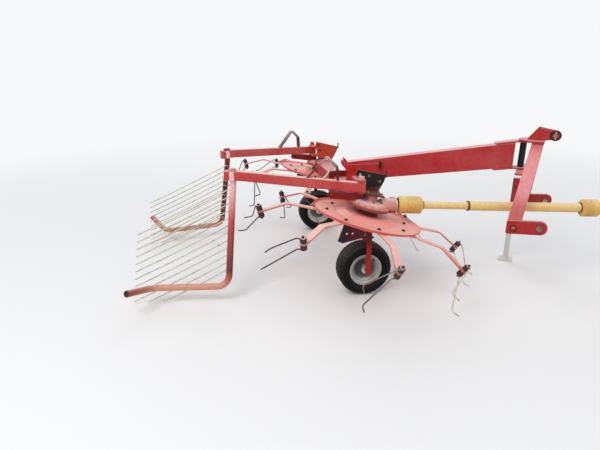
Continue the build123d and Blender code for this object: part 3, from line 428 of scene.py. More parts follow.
# %% Legs, hoops and arms
leg_paint = ramp_paint("headstock_leg_paint", Nodes.height, 1.2, (
    (0.56, 0.50, 0.022, 0.022), (0.69, 0.54, 0.040, 0.045), (0.78, 0.76, 0.23, 0.25),
    (0.92, 0.82, 0.25, 0.27), (1.02, 0.78, 0.22, 0.23), (1.08, 0.60, 0.09, 0.10)),
    (0.94, 0.58, 0.55), 0.45, 0.04)
hoop_paint = ramp_paint("hoop_paint", Nodes.height, 1.2, (
    (0.96, 0.085, 0.010, 0.010), (1.02, 0.44, 0.26, 0.25)), (0.62, 0.44, 0.41), 0.6, 0.06)
arm_pink = ramp_paint("arm_paint", from_rotor_axis, 0.8, (
    (0.40, 0.84, 0.33, 0.27), (0.54, 0.82, 0.29, 0.24), (0.63, 0.68, 0.14, 0.12),
    (0.72, 0.56, 0.08, 0.07)), (0.98, 0.64, 0.56), 0.85, 0.06)
# painted shade: the wheel bracket darkens towards its top, under the disc, and its rear strip is a near
# black painted shadow
wheel_leg_shade_paint = ramp_paint("wheel_leg_shade_paint", Nodes.height, 1.0, (
    (0.30, 0.40, 0.016, 0.024), (0.40, 0.34, 0.012, 0.018), (0.45, 0.14, 0.004, 0.004),
    (0.60, 0.10, 0.003, 0.003)), (0.34, 0.07, 0.06), 0.3, 0.05,
    layers=((lambda n: n.span(n.xyz()["X"], -0.16, -0.23), (0.018, 0.004, 0.004)),))

# %% Gearboxes and rims
# painted shade: the gearbox is dark low down, below its flange, where the casing's rim shades it
gearbox_paint = ramp_paint("gearbox_paint", along_rotor_axis, 0.2, (
    (0.060, 0.16, 0.020, 0.018), (0.090, 0.36, 0.060, 0.052), (0.096, 0.60, 0.24, 0.20),
    (0.120, 0.66, 0.27, 0.22), (0.150, 0.50, 0.17, 0.14)), (0.94, 0.60, 0.53), 0.8, 0.10, 0.35)
# painted shade: the dish is dark inside and has thin dark rings at its steps, where shade falls in the rim
rim_paint = ramp_paint("rim_paint", from_axle, 0.15, (
    (0.03, 0.10, 0.095, 0.09), (0.06, 0.045, 0.045, 0.040), (0.078, 0.12, 0.12, 0.115),
    (0.086, 0.46, 0.45, 0.43), (0.093, 0.56, 0.55, 0.52), (0.097, 0.10, 0.10, 0.095),
    (0.102, 0.58, 0.56, 0.53), (0.109, 0.64, 0.62, 0.59), (0.112, 0.15, 0.145, 0.14),
    (0.116, 0.60, 0.58, 0.55)), (0.80, 0.79, 0.76), 0.35, 0.14, 0.7)

# %% The gates' tubes: painted shade makes the far post darker than the near one
def far_post_shade(n):
    return n.times(n.span(n.xyz()["Y"], -0.1, 0.1), n.span(n.height(), 0.20, 0.32))

gate_paint = ramp_paint("gate_tube_paint", Nodes.height, 1.0, (
    (0.10, 0.84, 0.42, 0.27), (0.19, 0.42, 0.09, 0.06), (0.24, 0.085, 0.014, 0.012),
    (0.42, 0.30, 0.018, 0.020), (0.58, 0.50, 0.045, 0.050), (0.70, 0.78, 0.31, 0.30),
    (0.80, 0.90, 0.50, 0.50), (0.92, 0.72, 0.26, 0.26)), (0.88, 0.50, 0.43), 0.45, 0.08,
    layers=((far_post_shade, (0.20, 0.020, 0.018)),))

# %% The discs: painted shade round the boss, a pale face that is partly a painted highlight, red rim
def painted_gap_shade(n):
    return n.times(n.span(along_rotor_axis(n), 0.030, 0.052), n.span(from_rotor_axis(n), 0.080, 0.078))

def disc_paling(n):
    return n.span(from_rotor_axis(n), 0.078, 0.10, 0.0, 0.45)

# painted shade: the boss's top and the ring round its foot are dark, where the gearbox's rim shades the
# disc; disc_paling keeps them from paling
disc_paint = ramp_paint("disc_paint", from_rotor_axis, 0.4, (
    (0.078, 0.30, 0.035, 0.028), (0.092, 0.80, 0.15, 0.11), (0.12, 0.90, 0.19, 0.145),
    (0.19, 0.93, 0.21, 0.16), (0.26, 0.97, 0.33, 0.27), (0.37, 0.97, 0.38, 0.32),
    (0.388, 0.90, 0.18, 0.14), (0.395, 0.74, 0.08, 0.06)), (1.0, 0.54, 0.47), disc_paling, 0.03, 0.3,
    layers=((painted_gap_shade, (0.014, 0.008, 0.007)),))

# %% The near tower: dark plate, red lugs, pale knob, dark shelf
def knob(n):
    return n.times(n.span(from_middle(n), 0.700, 0.706), n.span(n.height(), 0.8845, 0.8860))

def tower_paling(n):
    return n.times(n.span(from_middle(n), 0.66, 0.67, 0.10, 0.5), n.span(n.height(), 0.79, 0.80, 0.35, 1.0))

def dark_shelf(n):
    return n.span(n.height(), 0.80, 0.79)

tower_paint = ramp_paint("tower_paint", from_middle, 1.0, (
    (0.664, 0.010, 0.0055, 0.005), (0.668, 0.46, 0.03, 0.03)), (0.62, 0.30, 0.27),
    tower_paling, 0.05, 0.4, layers=((knob, (0.74, 0.40, 0.34)), (dark_shelf, (0.12, 0.028, 0.022))))

# %% Tine wire: dark at the back, pale at the front
def wire_tone(n):
    return ramp_of(n, n.plus(n.xyz()["X"], 1.0), (
        (0.25, 0.050, 0.046, 0.042), (0.75, 0.13, 0.11, 0.095), (1.05, 0.34, 0.31, 0.27),
        (1.40, 0.58, 0.55, 0.42)), reach=2.0)

wire_steel = bare_steel("wire_steel", wire_tone, (0.20, 0.09, 0.045), 0.35)

# %% Rubber with earth on its tread
rubber, n, shader = start_material("tyre_rubber")
# painted highlight: the tread turns grey where it faces the sky, the walls stay black
tread_highlight = n.mix(n.span(from_axle(n), 0.176, 0.190), (0.030, 0.029, 0.028, 1), (0.20, 0.20, 0.21, 1))
coat = use_group(n, weather, Paint=(0.0060, 0.0060, 0.0058, 1), Faded=tread_highlight,
                 Fade=0.6, Dusting=0.035, Scale=1.6)
clods = n.span(n.noise(n.place(), 34.0, 5.0, 0.7), 0.50, 0.62)
earth = n.times(n.span(from_axle(n), 0.180, 0.203), clods)
n.feed(shader, Base_Color=n.mix(n.times(earth, 0.45), coat["Color"], (0.13, 0.10, 0.065, 1)),
       Roughness=n.span(earth, 0.0, 1.0, 0.55, 0.95), Specular_IOR_Level=0.10,
       Normal=bump(n, n.plus(coat["Height"], earth), 0.35, 0.0012))
print(len(bpy.data.materials), "materials in all")

# %% [markdown]
# The solids keep their shapes, so here they only get their finishes, by name.

# %% Give each solid its finish
# what comes on both sides is named without near_ or far_ where both look alike; the rest is red
solids_in = {
    beam_red: "main_beam beam_ears beam_rear_plates", painted_shade_red: "beam_saddle", black: "king_pin",
    tower_paint: "near_tower", orange: "far_tower", zinc: "far_lower_pin stand_leg",
    brown_steel: "top_pin pto_rear_yoke pto_front_yoke axle lower_pin",
    guard: "pto_rear_bell pto_front_bell", tube_guard: "pto_inner_guard pto_outer_guard",
    disc_paint: "rotor_disc", arm_pink: "rotor_arms", gearbox_paint: "gearbox",
    coil_steel: "rotor_tines", gate_red: "gate_arm", gate_paint: "gate_tube", hoop_paint: "gate_hoop",
    straw_steel: "gate_tines", rubber: "tyre", rim_paint: "rim", wheel_leg_shade_paint: "wheel_leg",
    leg_paint: "headstock_leg",
}
finishes = {name: finish for finish, names in solids_in.items() for name in names.split()}
for name, solid in nodes.items():
    kind = name.split("_", 1)[1] if name.startswith(("near_", "far_")) else name
    solid.data.materials.clear()
    solid.data.materials.append(finishes.get(name, finishes.get(kind, red)))
print("finishes on", len(nodes), "solids")

# %% [markdown]
# ## Two trees that repeat things
# Most of what is left to add is of two kinds: round rod bent along a line, and small fixings
# set at points. Each kind gets one Geometry Nodes tree. "Bent Rod" sweeps a circle along the
# lines of a mesh. "Fixings" puts a hexagon head, its washer and the end of its thread at every
# point, turned along the point's own direction and sized by its own number.

# %% Helpers for geometry trees
def start_tree(name, sizes):
    tree = bpy.data.node_groups.new(name, "GeometryNodeTree")
    tree.interface.new_socket("Geometry", in_out="INPUT", socket_type="NodeSocketGeometry")
    add_sockets(tree, "INPUT", sizes)
    tree.interface.new_socket("Finish", in_out="INPUT", socket_type="NodeSocketMaterial")
    tree.interface.new_socket("Geometry", in_out="OUTPUT", socket_type="NodeSocketGeometry")
    n = Nodes(tree)
    return tree, n, n.add("NodeGroupInput").outputs

def end_tree(n, geometry, finish):
    real = n.first("GeometryNodeRealizeInstances", Geometry=geometry)
    done = n.first("GeometryNodeSetMaterial", Geometry=real, Material=finish)
    n.add("NodeGroupOutput", Geometry=done)

def keep(name, mesh, body):
    mesh.name = name
    piece = show(bpy.data.objects.new(name, mesh))
    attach(piece, body)
    print(f"{name}: {len(mesh.polygons)} faces, rides on {body}")
    return piece

def grow(name, body, tree, start_mesh, finish, slot=None, **sizes):
    """Runs a tree on a starting mesh and keeps the result as a plain mesh that rides on a body."""
    seed = show(bpy.data.objects.new(name + ".seed", start_mesh))
    modifier = seed.modifiers.new("tree", "NODES")
    modifier.node_group = tree
    sockets = {item.name: item.identifier for item in tree.interface.items_tree if item.in_out == "INPUT"}
    for label, value in {"Finish": finish, **sizes}.items():
        modifier[sockets[label.replace("_", " ")]] = value
    bpy.context.view_layer.update()
    settled = seed.evaluated_get(bpy.context.evaluated_depsgraph_get())
    mesh = bpy.data.meshes.new_from_object(settled)
    bpy.data.objects.remove(seed)
    return keep(name, mesh, body)

# %% The bent rod tree
rod_tree, n, given = start_tree("Bent Rod", {"Thickness": 0.009, "Sides": 8})
line = n.first("GeometryNodeMeshToCurve", Mesh=given["Geometry"])
radius = n.times(given["Thickness"], 0.5)
ring = n.first("GeometryNodeCurvePrimitiveCircle", Resolution=given["Sides"], Radius=radius)
sweep = n.first("GeometryNodeCurveToMesh", Curve=line, Profile_Curve=ring, Fill_Caps=True)
end_tree(n, n.first("GeometryNodeSetShadeSmooth", Geometry=sweep), given["Finish"])

def lines_mesh(name, lines):
    points = [tuple(point) for line in lines for point in line]
    edges, first = [], 0
    for line in lines:
        edges += [(first + step, first + step + 1) for step in range(len(line) - 1)]
        first += len(line)
    mesh = bpy.data.meshes.new(name)
    mesh.from_pydata(points, edges, [])
    return mesh

def add_rods(name, body, lines, thickness, flats, finish):
    """Rods along lines of points. A rod's section has a number of flats."""
    start = lines_mesh(name + ".lines", lines)
    return grow(name, body, rod_tree, start, finish, Thickness=thickness, Sides=flats)

def bend(points, radius, steps=5):
    """Rounds the corners of a run of points."""
    points = [Vector(point) for point in points]
    out = [points[0]]
    for before, corner, after in zip(points, points[1:], points[2:]):
        cut = min(radius, (before - corner).length * 0.45, (after - corner).length * 0.45)
        start = corner + (before - corner).normalized() * cut
        end = corner + (after - corner).normalized() * cut
        for step in range(steps + 1):
            t = step / steps
            out.append(start.lerp(corner, t).lerp(corner.lerp(end, t), t))
    return out + [points[-1]]

# %% The fixings tree
fixing_tree, n, given = start_tree("Fixings", {
    "Across": 0.018, "Head": 0.009, "Washer": 0.024, "Washer Height": 0.003, "Thread": 0.006})

def short_bar(n, corners, width, height, lift, narrowing=1.0):
    """A bar with a number of corners, standing on the lift, narrower at its top."""
    radius = n.times(width, 0.5)
    cone = n.first("GeometryNodeMeshCone", {"fill_type": "NGON"}, Vertices=corners, Depth=height,
                   Radius_Bottom=radius, Radius_Top=n.times(radius, narrowing))
    up = n.first("ShaderNodeCombineXYZ", Z=lift)
    return n.first("GeometryNodeTransform", Geometry=cone, Translation=up)

shoulder_share, thread_share = 0.75, 0.55
crown_narrowing, thread_narrowing = 0.86, 0.9
shoulder = n.times(given["Head"], shoulder_share)
washer = short_bar(n, 16, given["Washer"], given["Washer Height"], 0.0)
flats = short_bar(n, 6, given["Across"], shoulder, given["Washer Height"])
crown_lift = n.plus(given["Washer Height"], shoulder)
crown_height = n.times(given["Head"], 1 - shoulder_share)
crown = short_bar(n, 6, given["Across"], crown_height, crown_lift, crown_narrowing)
thread_lift = n.plus(given["Washer Height"], given["Head"])
thread_width = n.times(given["Across"], thread_share)
thread = short_bar(n, 10, thread_width, given["Thread"], thread_lift, thread_narrowing)
whole = n.add("GeometryNodeJoinGeometry")
for part in (thread, crown, flats, washer):
    n.tree.links.new(part, whole.inputs[0])
aim = n.first("GeometryNodeInputNamedAttribute", {"data_type": "FLOAT_VECTOR"}, Name="aim")
size = n.first("GeometryNodeInputNamedAttribute", {"data_type": "FLOAT"}, Name="size")
turn = n.first("FunctionNodeAlignRotationToVector", {"axis": "Z"}, Vector=aim)
even = n.first("ShaderNodeCombineXYZ", X=size, Y=size, Z=size)
placed = n.first("GeometryNodeInstanceOnPoints", Points=given["Geometry"], Instance=whole.outputs[0],
                 Rotation=turn, Scale=even)
end_tree(n, placed, given["Finish"])

def add_bolts(name, body, fixings, finish, slot=None, **sizes):
    """Fixings at rows of (place, direction, size). The size is a factor on the tree's own sizes."""
    mesh = bpy.data.meshes.new(name + ".points")
    mesh.from_pydata([tuple(place) for place, aim, size in fixings], [], [])
    aims = mesh.attributes.new("aim", "FLOAT_VECTOR", "POINT")
    aims.data.foreach_set("vector", [x for place, aim, size in fixings for x in Vector(aim).normalized()])
    factors = mesh.attributes.new("size", "FLOAT", "POINT")
    factors.data.foreach_set("value", [size for place, aim, size in fixings])
    return grow(name, body, fixing_tree, mesh, finish, slot, **sizes)

print("two geometry trees")

# %% [markdown]
# ## Where things are
# The rotors lean forward, so their parts are placed in each rotor's own directions: ahead, left
# and along its axis. The numbers repeat the sizes of the solid model.

# %% Directions of the rotors
sides = {"near": -1, "far": 1}
axis = Vector((sin(lean), 0, cos(lean)))
ahead = Vector((cos(lean), 0, -sin(lean)))
left = Vector((0, 1, 0))

def rotor_centre(side):
    return Vector((rotor_x, side * rotor_y, rotor_height))

def wheel_centre(side):
    return Vector((wheel_x, side * rotor_y, wheel_height))

def outward_at(angle):
    return ahead * cos(angle) + left * sin(angle)

def on_rotor(side, outward, out, rise):
    return rotor_centre(side) + outward * out + axis * rise

def in_rotor(side, forward, across, rise):
    return rotor_centre(side) + ahead * forward + left * across + axis * rise

def evenly(count, start=0.0):
    return [start + 2 * pi * index / count for index in range(count)]

# %% The tine arms and their ends
arm_count = 8
first_arm = radians(-2.33)
arm_bend_radius, head_radius = 0.590, 0.763
arm_drop = 0.092
head_rise = -0.100
arm_slope = atan2(arm_drop, head_radius - arm_bend_radius)

def arm_ways(side, index):
    """The ways out, back against the turning, and along the coils, for one tine arm."""
    turn = first_arm + 2 * pi / arm_count * index
    if side > 0:
        turn = -(turn + pi / arm_count)
    outward = outward_at(turn)
    behind = (ahead * sin(turn) - left * cos(turn)) * -side
    return outward, behind, axis * cos(arm_slope) + outward * sin(arm_slope)

# %% [markdown]
# ## Spring tines
# Each arm carries one length of spring wire, wound into a coil above the bar and a coil below
# it, whose two ends reach out and down into the hay. The solid model has grooved rings for the
# coils. Here the wire is really wound: a helix, a smooth way out of its last turn, and a bent
# tip. The bent rod tree sweeps them all at once.

# %% Wind the coils and bend the wires
wire = 0.009
coil_radius = 0.0175
coil_pitch = 0.0094 * 0.98
coil_turns = 3.5
steps_in_turn = 14
half_bar = 0.005
wire_gap = 0.0004
wire_lead, wire_bend = 0.030, 0.026
# way along the coils, then how far the corner is out, behind and down, and the tip out and down
tine_ends = ((1, 0.022, 0.205, 0.108, 0.058, 0.020), (-1, 0.052, 0.185, 0.217, 0.053, 0.012))

def tine_lines(side, index):
    outward, behind, bar_up = arm_ways(side, index)
    bar_out = outward * cos(arm_slope) - axis * sin(arm_slope)
    head = on_rotor(side, outward, head_radius, head_rise)
    coils, wires = [], []
    for up, out, trail, drop, tip_out, tip_drop in tine_ends:
        foot = head + bar_up * up * (half_bar + wire / 2 + wire_gap)
        coil = []
        steps = int(coil_turns * steps_in_turn)
        for step in range(steps + 1):
            wound = step / steps * coil_turns
            angle = 2 * pi * (wound - coil_turns)
            around = bar_out * cos(angle) + behind * sin(angle)
            coil.append(foot + bar_up * (up * coil_pitch * wound) + around * coil_radius)
        corner = head + outward * out + behind * trail - axis * drop
        tip = corner + outward * tip_out - axis * tip_drop
        coils.append(coil)
        wires.append(bend([coil[-1], coil[-1] + behind * wire_lead, corner, tip], wire_bend))
    return coils, wires

for name, side in sides.items():
    coils, wires = [], []
    for index in range(arm_count):
        more_coils, more_wires = tine_lines(side, index)
        coils += more_coils
        wires += more_wires
    wound = add_rods(name + "_tine_coils", name + "_rotor", coils, wire, 8, coil_steel)
    add_rods(name + "_tine_wires", name + "_rotor", wires, wire, 8, wire_steel)
    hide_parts(name + "_rotor_tines")

# %% [markdown]
# ## Tyres
# A tyre is a ring with one cross-section all the way round, so its outline is spun about the
# axle. Round grooves run along the tread, as on most tyres that are pulled and never driven. The
# same spin cuts fine notches: at every other pair of steps the shoulders sink by a little.

# %% Spin an outline about the axle
def ways_around(way, angles):
    """The ways square to another way, at some angles about it."""
    first = way.orthogonal().normalized()
    second = way.cross(first)
    return [first * cos(angle) + second * sin(angle) for angle in angles]

def spin_about_axle(mesh, outline_at, middle, steps):
    """Adds a closed ring to a bmesh. outline_at(step) gives its (across, radius) points there."""
    rings = []
    for step, out in enumerate(ways_around(left, evenly(steps))):
        rings.append([mesh.verts.new(middle + left * across + out * radius)
                      for across, radius in outline_at(step)])
    for here, there in zip(rings, rings[1:] + rings[:1]):
        for index in range(len(here)):
            after = (index + 1) % len(here)
            mesh.faces.new((here[index], here[after], there[after], there[index]))

def smooth_by_angle(data, limit):
    """Marks the edges sharper than an angle, so that flat faces stay flat."""
    mesh = bmesh.new()
    mesh.from_mesh(data)
    for edge in mesh.edges:
        edge.smooth = len(edge.link_faces) == 2 and edge.calc_face_angle(0) < radians(limit)
    for face in mesh.faces:
        face.smooth = True
    mesh.to_mesh(data)
    mesh.free()

def keep_built(name, mesh, body, finish, limit=0):
    """Keeps a bmesh as a piece, faces outward, smooth over edges below a limit in degrees."""
    bmesh.ops.recalc_face_normals(mesh, faces=mesh.faces)
    data = bpy.data.meshes.new(name)
    mesh.to_mesh(data)
    mesh.free()
    data.materials.append(finish)
    if limit:
        smooth_by_angle(data, limit)
    return keep(name, data, body)

# %% The two tyres
tread_steps = 144
tread_radius = 0.2025
notch_depth = 0.0015

def tyre_outline(step):
    """From the middle of the tread, over the shoulder and down the wall to the bead."""
    crown = tread_radius if step % 4 < 2 else tread_radius - notch_depth
    half = [
        (0.000, tread_radius), (0.010, tread_radius), (0.012, 0.1965), (0.017, 0.1965), (0.019, 0.2025),
        (0.031, 0.2022), (0.033, 0.1960), (0.038, 0.1958), (0.040, crown), (0.052, crown - 0.0025),
        (0.054, 0.1930), (0.058, 0.1920), (0.060, crown - 0.0060), (0.067, crown - 0.0120),
        (0.0725, 0.1840), (0.0765, 0.1760), (0.0795, 0.1675), (0.0815, 0.1600), (0.0822, 0.1560),
        (0.0810, 0.1510), (0.0782, 0.1440), (0.0762, 0.1425), (0.0740, 0.1370), (0.0695, 0.1312),
        (0.0662, 0.1275), (0.0630, 0.1225), (0.0500, 0.1222),
    ]
    return half + [(-across, radius) for across, radius in reversed(half[1:])]

for name, side in sides.items():
    tread = bmesh.new()
    spin_about_axle(tread, tyre_outline, wheel_centre(side), tread_steps)
    tyre = keep_built(name + "_tyre_tread", tread, name + "_wheel", rubber, 40)
    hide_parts(name + "_tyre")

# %% [markdown]
# ## Gate tines and their clips
# Each gate post holds twelve long wires that drag the swath together. They leave the post's
# inner side and run straight back and down. A little sag keeps them from looking ruled. Each is
# held by a folded clip with one bolt.

# %% Gate wires and clips
gate_x, gate_y = -0.965, 0.443
lean_back, lean_out = 0.085, 0.267
post_top, post_foot_height = 0.825, 0.128
wire_count = 12
highest_wire, wires_reach = 0.790, 0.555
wire_length, wire_clearance = 0.780, 0.016
wire_sag = 0.006
wire_steps = 8
wire_slope = radians(24)
wire_out, clip_back, clip_out, half_clip = 0.0305, 0.004, 0.003, 0.013
clip_bolt_out, clip_bolt_up = 0.004, 0.011
back = Vector((-cos(wire_slope), 0, -sin(wire_slope)))

def gate_wire_starts(upper, foot):
    for index in range(wire_count):
        height = highest_wire - wires_reach * index / (wire_count - 1)
        share = (upper.z - height) / (upper.z - foot.z)
        length = min(wire_length, (height - wire_clearance) / sin(wire_slope))
        yield upper.lerp(foot, share), length

def sagging(start, length):
    for step in range(wire_steps + 1):
        along = step / wire_steps
        yield start + back * length * along - Vector((0, 0, wire_sag * sin(pi * along)))

for name, side in sides.items():
    inward = Vector((0, -side, 0))
    upper = Vector((gate_x, side * gate_y, post_top))
    foot = Vector((gate_x - lean_back, side * (gate_y + lean_out), post_foot_height))
    post = (foot - upper).normalized()
    wires, clips, clip_bolts = [], [], []
    for centre, length in gate_wire_starts(upper, foot):
        start = centre + inward * wire_out
        plate = start + back * clip_back + inward * clip_out
        wires.append(list(sagging(start, length)))
        clips.append([plate - post * half_clip, plate + post * half_clip])
        clip_bolts.append((start + inward * clip_bolt_out + post * clip_bolt_up, inward, 0.62))
    body = name + "_gate"
    gate_wires = add_rods(name + "_gate_wires", body, wires, 0.008, 8, straw_steel)
    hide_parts(name + "_gate_tines")
    add_rods(name + "_gate_clips", body, clips, 0.013, 4, black)
    add_bolts(name + "_clip_bolts", body, clip_bolts, zinc)

# %% [markdown]
# ## Three more directions
# The beam, the headstock, the drive shaft and the gate arms are turned about the vertical, so
# their fixings are given in their own directions: forward, left and up, from a point on them.

# %% Places on turned parts
def turned(place, heading):
    """Gives two functions, for a point and for a direction of a part turned about the vertical."""
    turn = Matrix.Rotation(radians(heading), 4, "Z")
    at = Matrix.Translation(place) @ turn
    return lambda *local: at @ Vector(local), lambda *local: turn @ Vector(local)

on_beam, _ = turned((-0.020, -0.200, 0), -25.087)
on_head, head_way = turned((1.157, -0.751, 0), -40.2)
arm_root_x, arm_root_y = -0.095, 0.790

def on_gate_arm(side):
    root = Vector((arm_root_x, side * arm_root_y, 0))
    run = Vector((gate_x, side * gate_y, 0)) - root
    return turned(root, degrees(atan2(run.y, run.x)))[0]

neck = Vector((0.176, -rotor_y, 0.672))
shaft_start = Vector((0.215, -rotor_y, 0.672))
shaft_heading, shaft_drop = radians(-10.5), radians(1.7)
shaft_way = Vector((
    cos(shaft_heading) * cos(shaft_drop), sin(shaft_heading) * cos(shaft_drop), -sin(shaft_drop)))

# %% [markdown]
# ## Bolts
# Bolted joints tell how a machine is put together. Each list below says where the heads sit,
# which way they point and how large they are, and the fixings tree builds them all. Each tine
# arm is bolted to the disc above it by one dark bolt near the disc's edge.

# %% Bolts on the rotors
disc_bolt_radius = 0.300
disc_top, arm_bottom = 0.003, -0.013
coil_end = 0.0456

for name, side in sides.items():
    disc_bolts, under_nuts, head_nuts = [], [], []
    for index in range(arm_count):
        outward, behind, bar_up = arm_ways(side, index)
        disc_bolts.append((on_rotor(side, outward, disc_bolt_radius, disc_top), axis, 1.15))
        under_nuts.append((on_rotor(side, outward, disc_bolt_radius, arm_bottom), -axis, 0.9))
        head = on_rotor(side, outward, head_radius, head_rise)
        head_nuts += [(head + way * coil_end, way, 1.0) for way in (bar_up, -bar_up)]
    body = name + "_rotor"
    add_bolts(name + "_disc_bolts", body, disc_bolts, black, Head=0.006, Thread=0.001)
    add_bolts(name + "_disc_nuts", body, under_nuts, brown_steel)
    add_bolts(name + "_tine_nuts", body, head_nuts, coil_steel, "bare_steel",
              Washer=0.018, Head=0.007, Thread=0.002)

# %% Bolts on the gearboxes
flange_bolt_radius, flange_top = 0.1365, 0.100
cover_bolt_radius, cover_top = 0.066, 0.1262
shelf_top = 0.182
tube_end, tube_middle = 0.597, 0.702

def beside_tubes(side, outward, limit):
    """Whether a way out of a gearbox misses the cross tube and, on the near side, the neck."""
    return max(outward.x if side < 0 else 0, -side * outward.y) < limit

for name, side in sides.items():
    flange_ways = [way for way in map(outward_at, evenly(16, pi / 16)) if beside_tubes(side, way, 0.86)]
    add_bolts(name + "_flange_bolts", "frame", [
        (on_rotor(side, way, flange_bolt_radius, flange_top), axis, 0.62) for way in flange_ways], casting)
    add_bolts(name + "_cover_bolts", "frame", [
        (on_rotor(side, outward_at(angle), cover_bolt_radius, cover_top), axis, 0.95)
        for angle in evenly(6, 0.5)], brown_steel)
    add_bolts(name + "_shelf_bolts", "frame", [
        (in_rotor(side, along, side * across, shelf_top), axis, 1.0)
        for along in (-0.055, 0.055) for across in (-0.030, 0.036)], brown_steel)
    add_bolts(name + "_tube_bolts", "frame", [
        ((rotor_x + x, side * tube_end, tube_middle + z), (0, side, 0), 0.75)
        for x in (-0.062, 0.062) for z in (-0.042, 0.042)], brown_steel, Washer=0.018)

# %% Bolts on towers and wheel brackets
tower_plate = 0.012
# the plate's right-hand face, its bolts' finish, and two holes' (x, z)
tower_bolts = {"near": (-0.660, brown_steel, (0.004, 0.878), (0.086, 0.833)),
               "far": (0.648, black, (-0.063, 0.895), (-0.048, 0.848))}
for name, (face, finish, *holes) in tower_bolts.items():
    bolts = []
    for x, z in holes:
        bolts.append(((x, face, z), (0, -1, 0), 0.85))
        bolts.append(((x, face + tower_plate, z), (0, 1, 0), 0.85))
    add_bolts(name + "_plate_bolts", "frame", bolts, finish, "bare_steel")

half_tyre, bracket_gap, bracket_plate = 0.0825, 0.020, 0.014
column_end_rise = -0.112
bracket_bolts = []
for side in sides.values():
    outer = side * (rotor_y + half_tyre + bracket_gap + bracket_plate)
    column_end = rotor_centre(side) + axis * column_end_rise
    for up in (0.020, 0.050):
        bracket_bolts.append(((column_end.x - 0.020, outer, column_end.z + up), (0, side, 0), 0.9))
    for along in (-0.040, 0.040):
        bracket_bolts.append((in_rotor(side, along, side * 0.055, column_end_rise - 0.010), -axis, 0.9))
add_bolts("bracket_bolts", "frame", bracket_bolts, brown_steel)

# %% Bolts on the headstock
half_spacing = 0.4125
lug_bolt_x, lug_bolt_height = 0.039, 0.553
head_bolts, dark_washers = [], []
for side in sides.values():
    spot, way = on_head(lug_bolt_x, side * half_spacing, lug_bolt_height), head_way(0, side, 0)
    head_bolts.append((spot + way * 0.0024, way, 1.7))
    dark_washers.append((spot, way, 2.0))
add_bolts("lug_bolts", "headstock", head_bolts, red, Washer=0.020, Washer_Height=0.001)
add_bolts("lug_washers", "headstock", dark_washers, black, Head=0.0004, Thread=0.0001, Washer_Height=0.0012)
add_bolts("king_pin_nut", "headstock", [(on_head(0, 0, 0.8817), (0, 0, -1), 2.1)], brown_steel)

# %% [markdown]
# ## Wheels: bolts, hub caps, valves
# Each rim is bolted to its hub through the middle of the dish, and a cap closes the bearing. A
# short rubber valve stands out of the dish. All of it turns with the wheel.

# %% Hub caps, wheel bolts and valves
wheel_bolt_radius, dish_face = 0.058, 0.0157
cap_outline = ((0.0545, 0.013), (0.0575, 0.013), (0.0575, 0.026), (0.0560, 0.0295),
               (0.0500, 0.0308), (0.0500, 0.0298), (0.0545, 0.0290))

for name, side in sides.items():
    body = name + "_wheel"
    hub = wheel_centre(side)
    wheel_bolts = []
    caps = bmesh.new()
    for face in (1, -1):
        for angle in evenly(5, 0.3):
            out = Vector((cos(angle) * wheel_bolt_radius, face * dish_face, sin(angle) * wheel_bolt_radius))
            wheel_bolts.append((hub + out, (0, face, 0), 0.85))
        faced = [(face * across, radius) for across, radius in cap_outline]
        spin_about_axle(caps, lambda step: faced, hub, 40)
    add_bolts(name + "_wheel_bolts", body, wheel_bolts, rim_paint)
    keep_built(name + "_hub_caps", caps, body, zinc, 30)
    foot = hub + Vector((0.055, side * 0.036, 0.070))
    valve = [foot, foot + Vector((0.004, side * 0.022, 0.004)), foot + Vector((0.004, side * 0.040, 0.004))]
    add_rods(name + "_valve", body, [valve], 0.009, 10, rubber)

# %% [markdown]
# ## Castings, seams and clips
# A gearbox is cast, with ribs that run down its dome. They are bars along the dome's own slope,
# so the bent rod tree makes them too. The clamp ring round the input neck holds the shaft's
# guard, and the ring where the two guard tubes meet stops them from pulling apart.

# %% Ribs on the gearboxes
rib_line = ((0.078, 0.1235), (0.096, 0.1225), (0.112, 0.1165), (0.1285, 0.100))

for name, side in sides.items():
    rib_ways = [way for way in map(outward_at, evenly(10, pi / 10)) if beside_tubes(side, way, 0.84)]
    ribs = [[on_rotor(side, way, out, rise) for out, rise in rib_line] for way in rib_ways]
    add_rods(name + "_casing_ribs", "frame", ribs, 0.011, 4, casting)

# %% Rings on the neck and the shaft
neck_bolt_radius, neck_bolt_out = 0.042, 0.008

def ring_line(middle, way, radius, steps=40):
    return [middle + out * radius for out in ways_around(way, evenly(steps) + [2 * pi])]

add_rods("neck_ring", "frame", [ring_line(neck, Vector((1, 0, 0)), 0.056)], 0.007, 8, zinc)
neck_bolts = []
for angle in (0.4, 2.0, 3.6, 5.2):
    out = Vector((neck_bolt_out, neck_bolt_radius * cos(angle), neck_bolt_radius * sin(angle)))
    neck_bolts.append((neck + out, (1, 0, 0), 0.5))
add_bolts("neck_bolts", "frame", neck_bolts, zinc)
# how far along the shaft, and the radius
guard_rings = ((0.498, 0.0345), (0.506, 0.0345), (0.172, 0.0280), (1.328, 0.0350))
add_rods("guard_rings", "drive_shaft", [
    ring_line(shaft_start + shaft_way * along, shaft_way, radius) for along, radius in guard_rings],
    0.0065, 8, black)

# %% [markdown]
# ## Weld beads
# Where plates meet tubes, a bead of weld fills the corner: a row of small overlapping scales.
# The weld tree walks along a line, drops a small blob every few millimetres and gives each its
# own size, from a fixed seed.

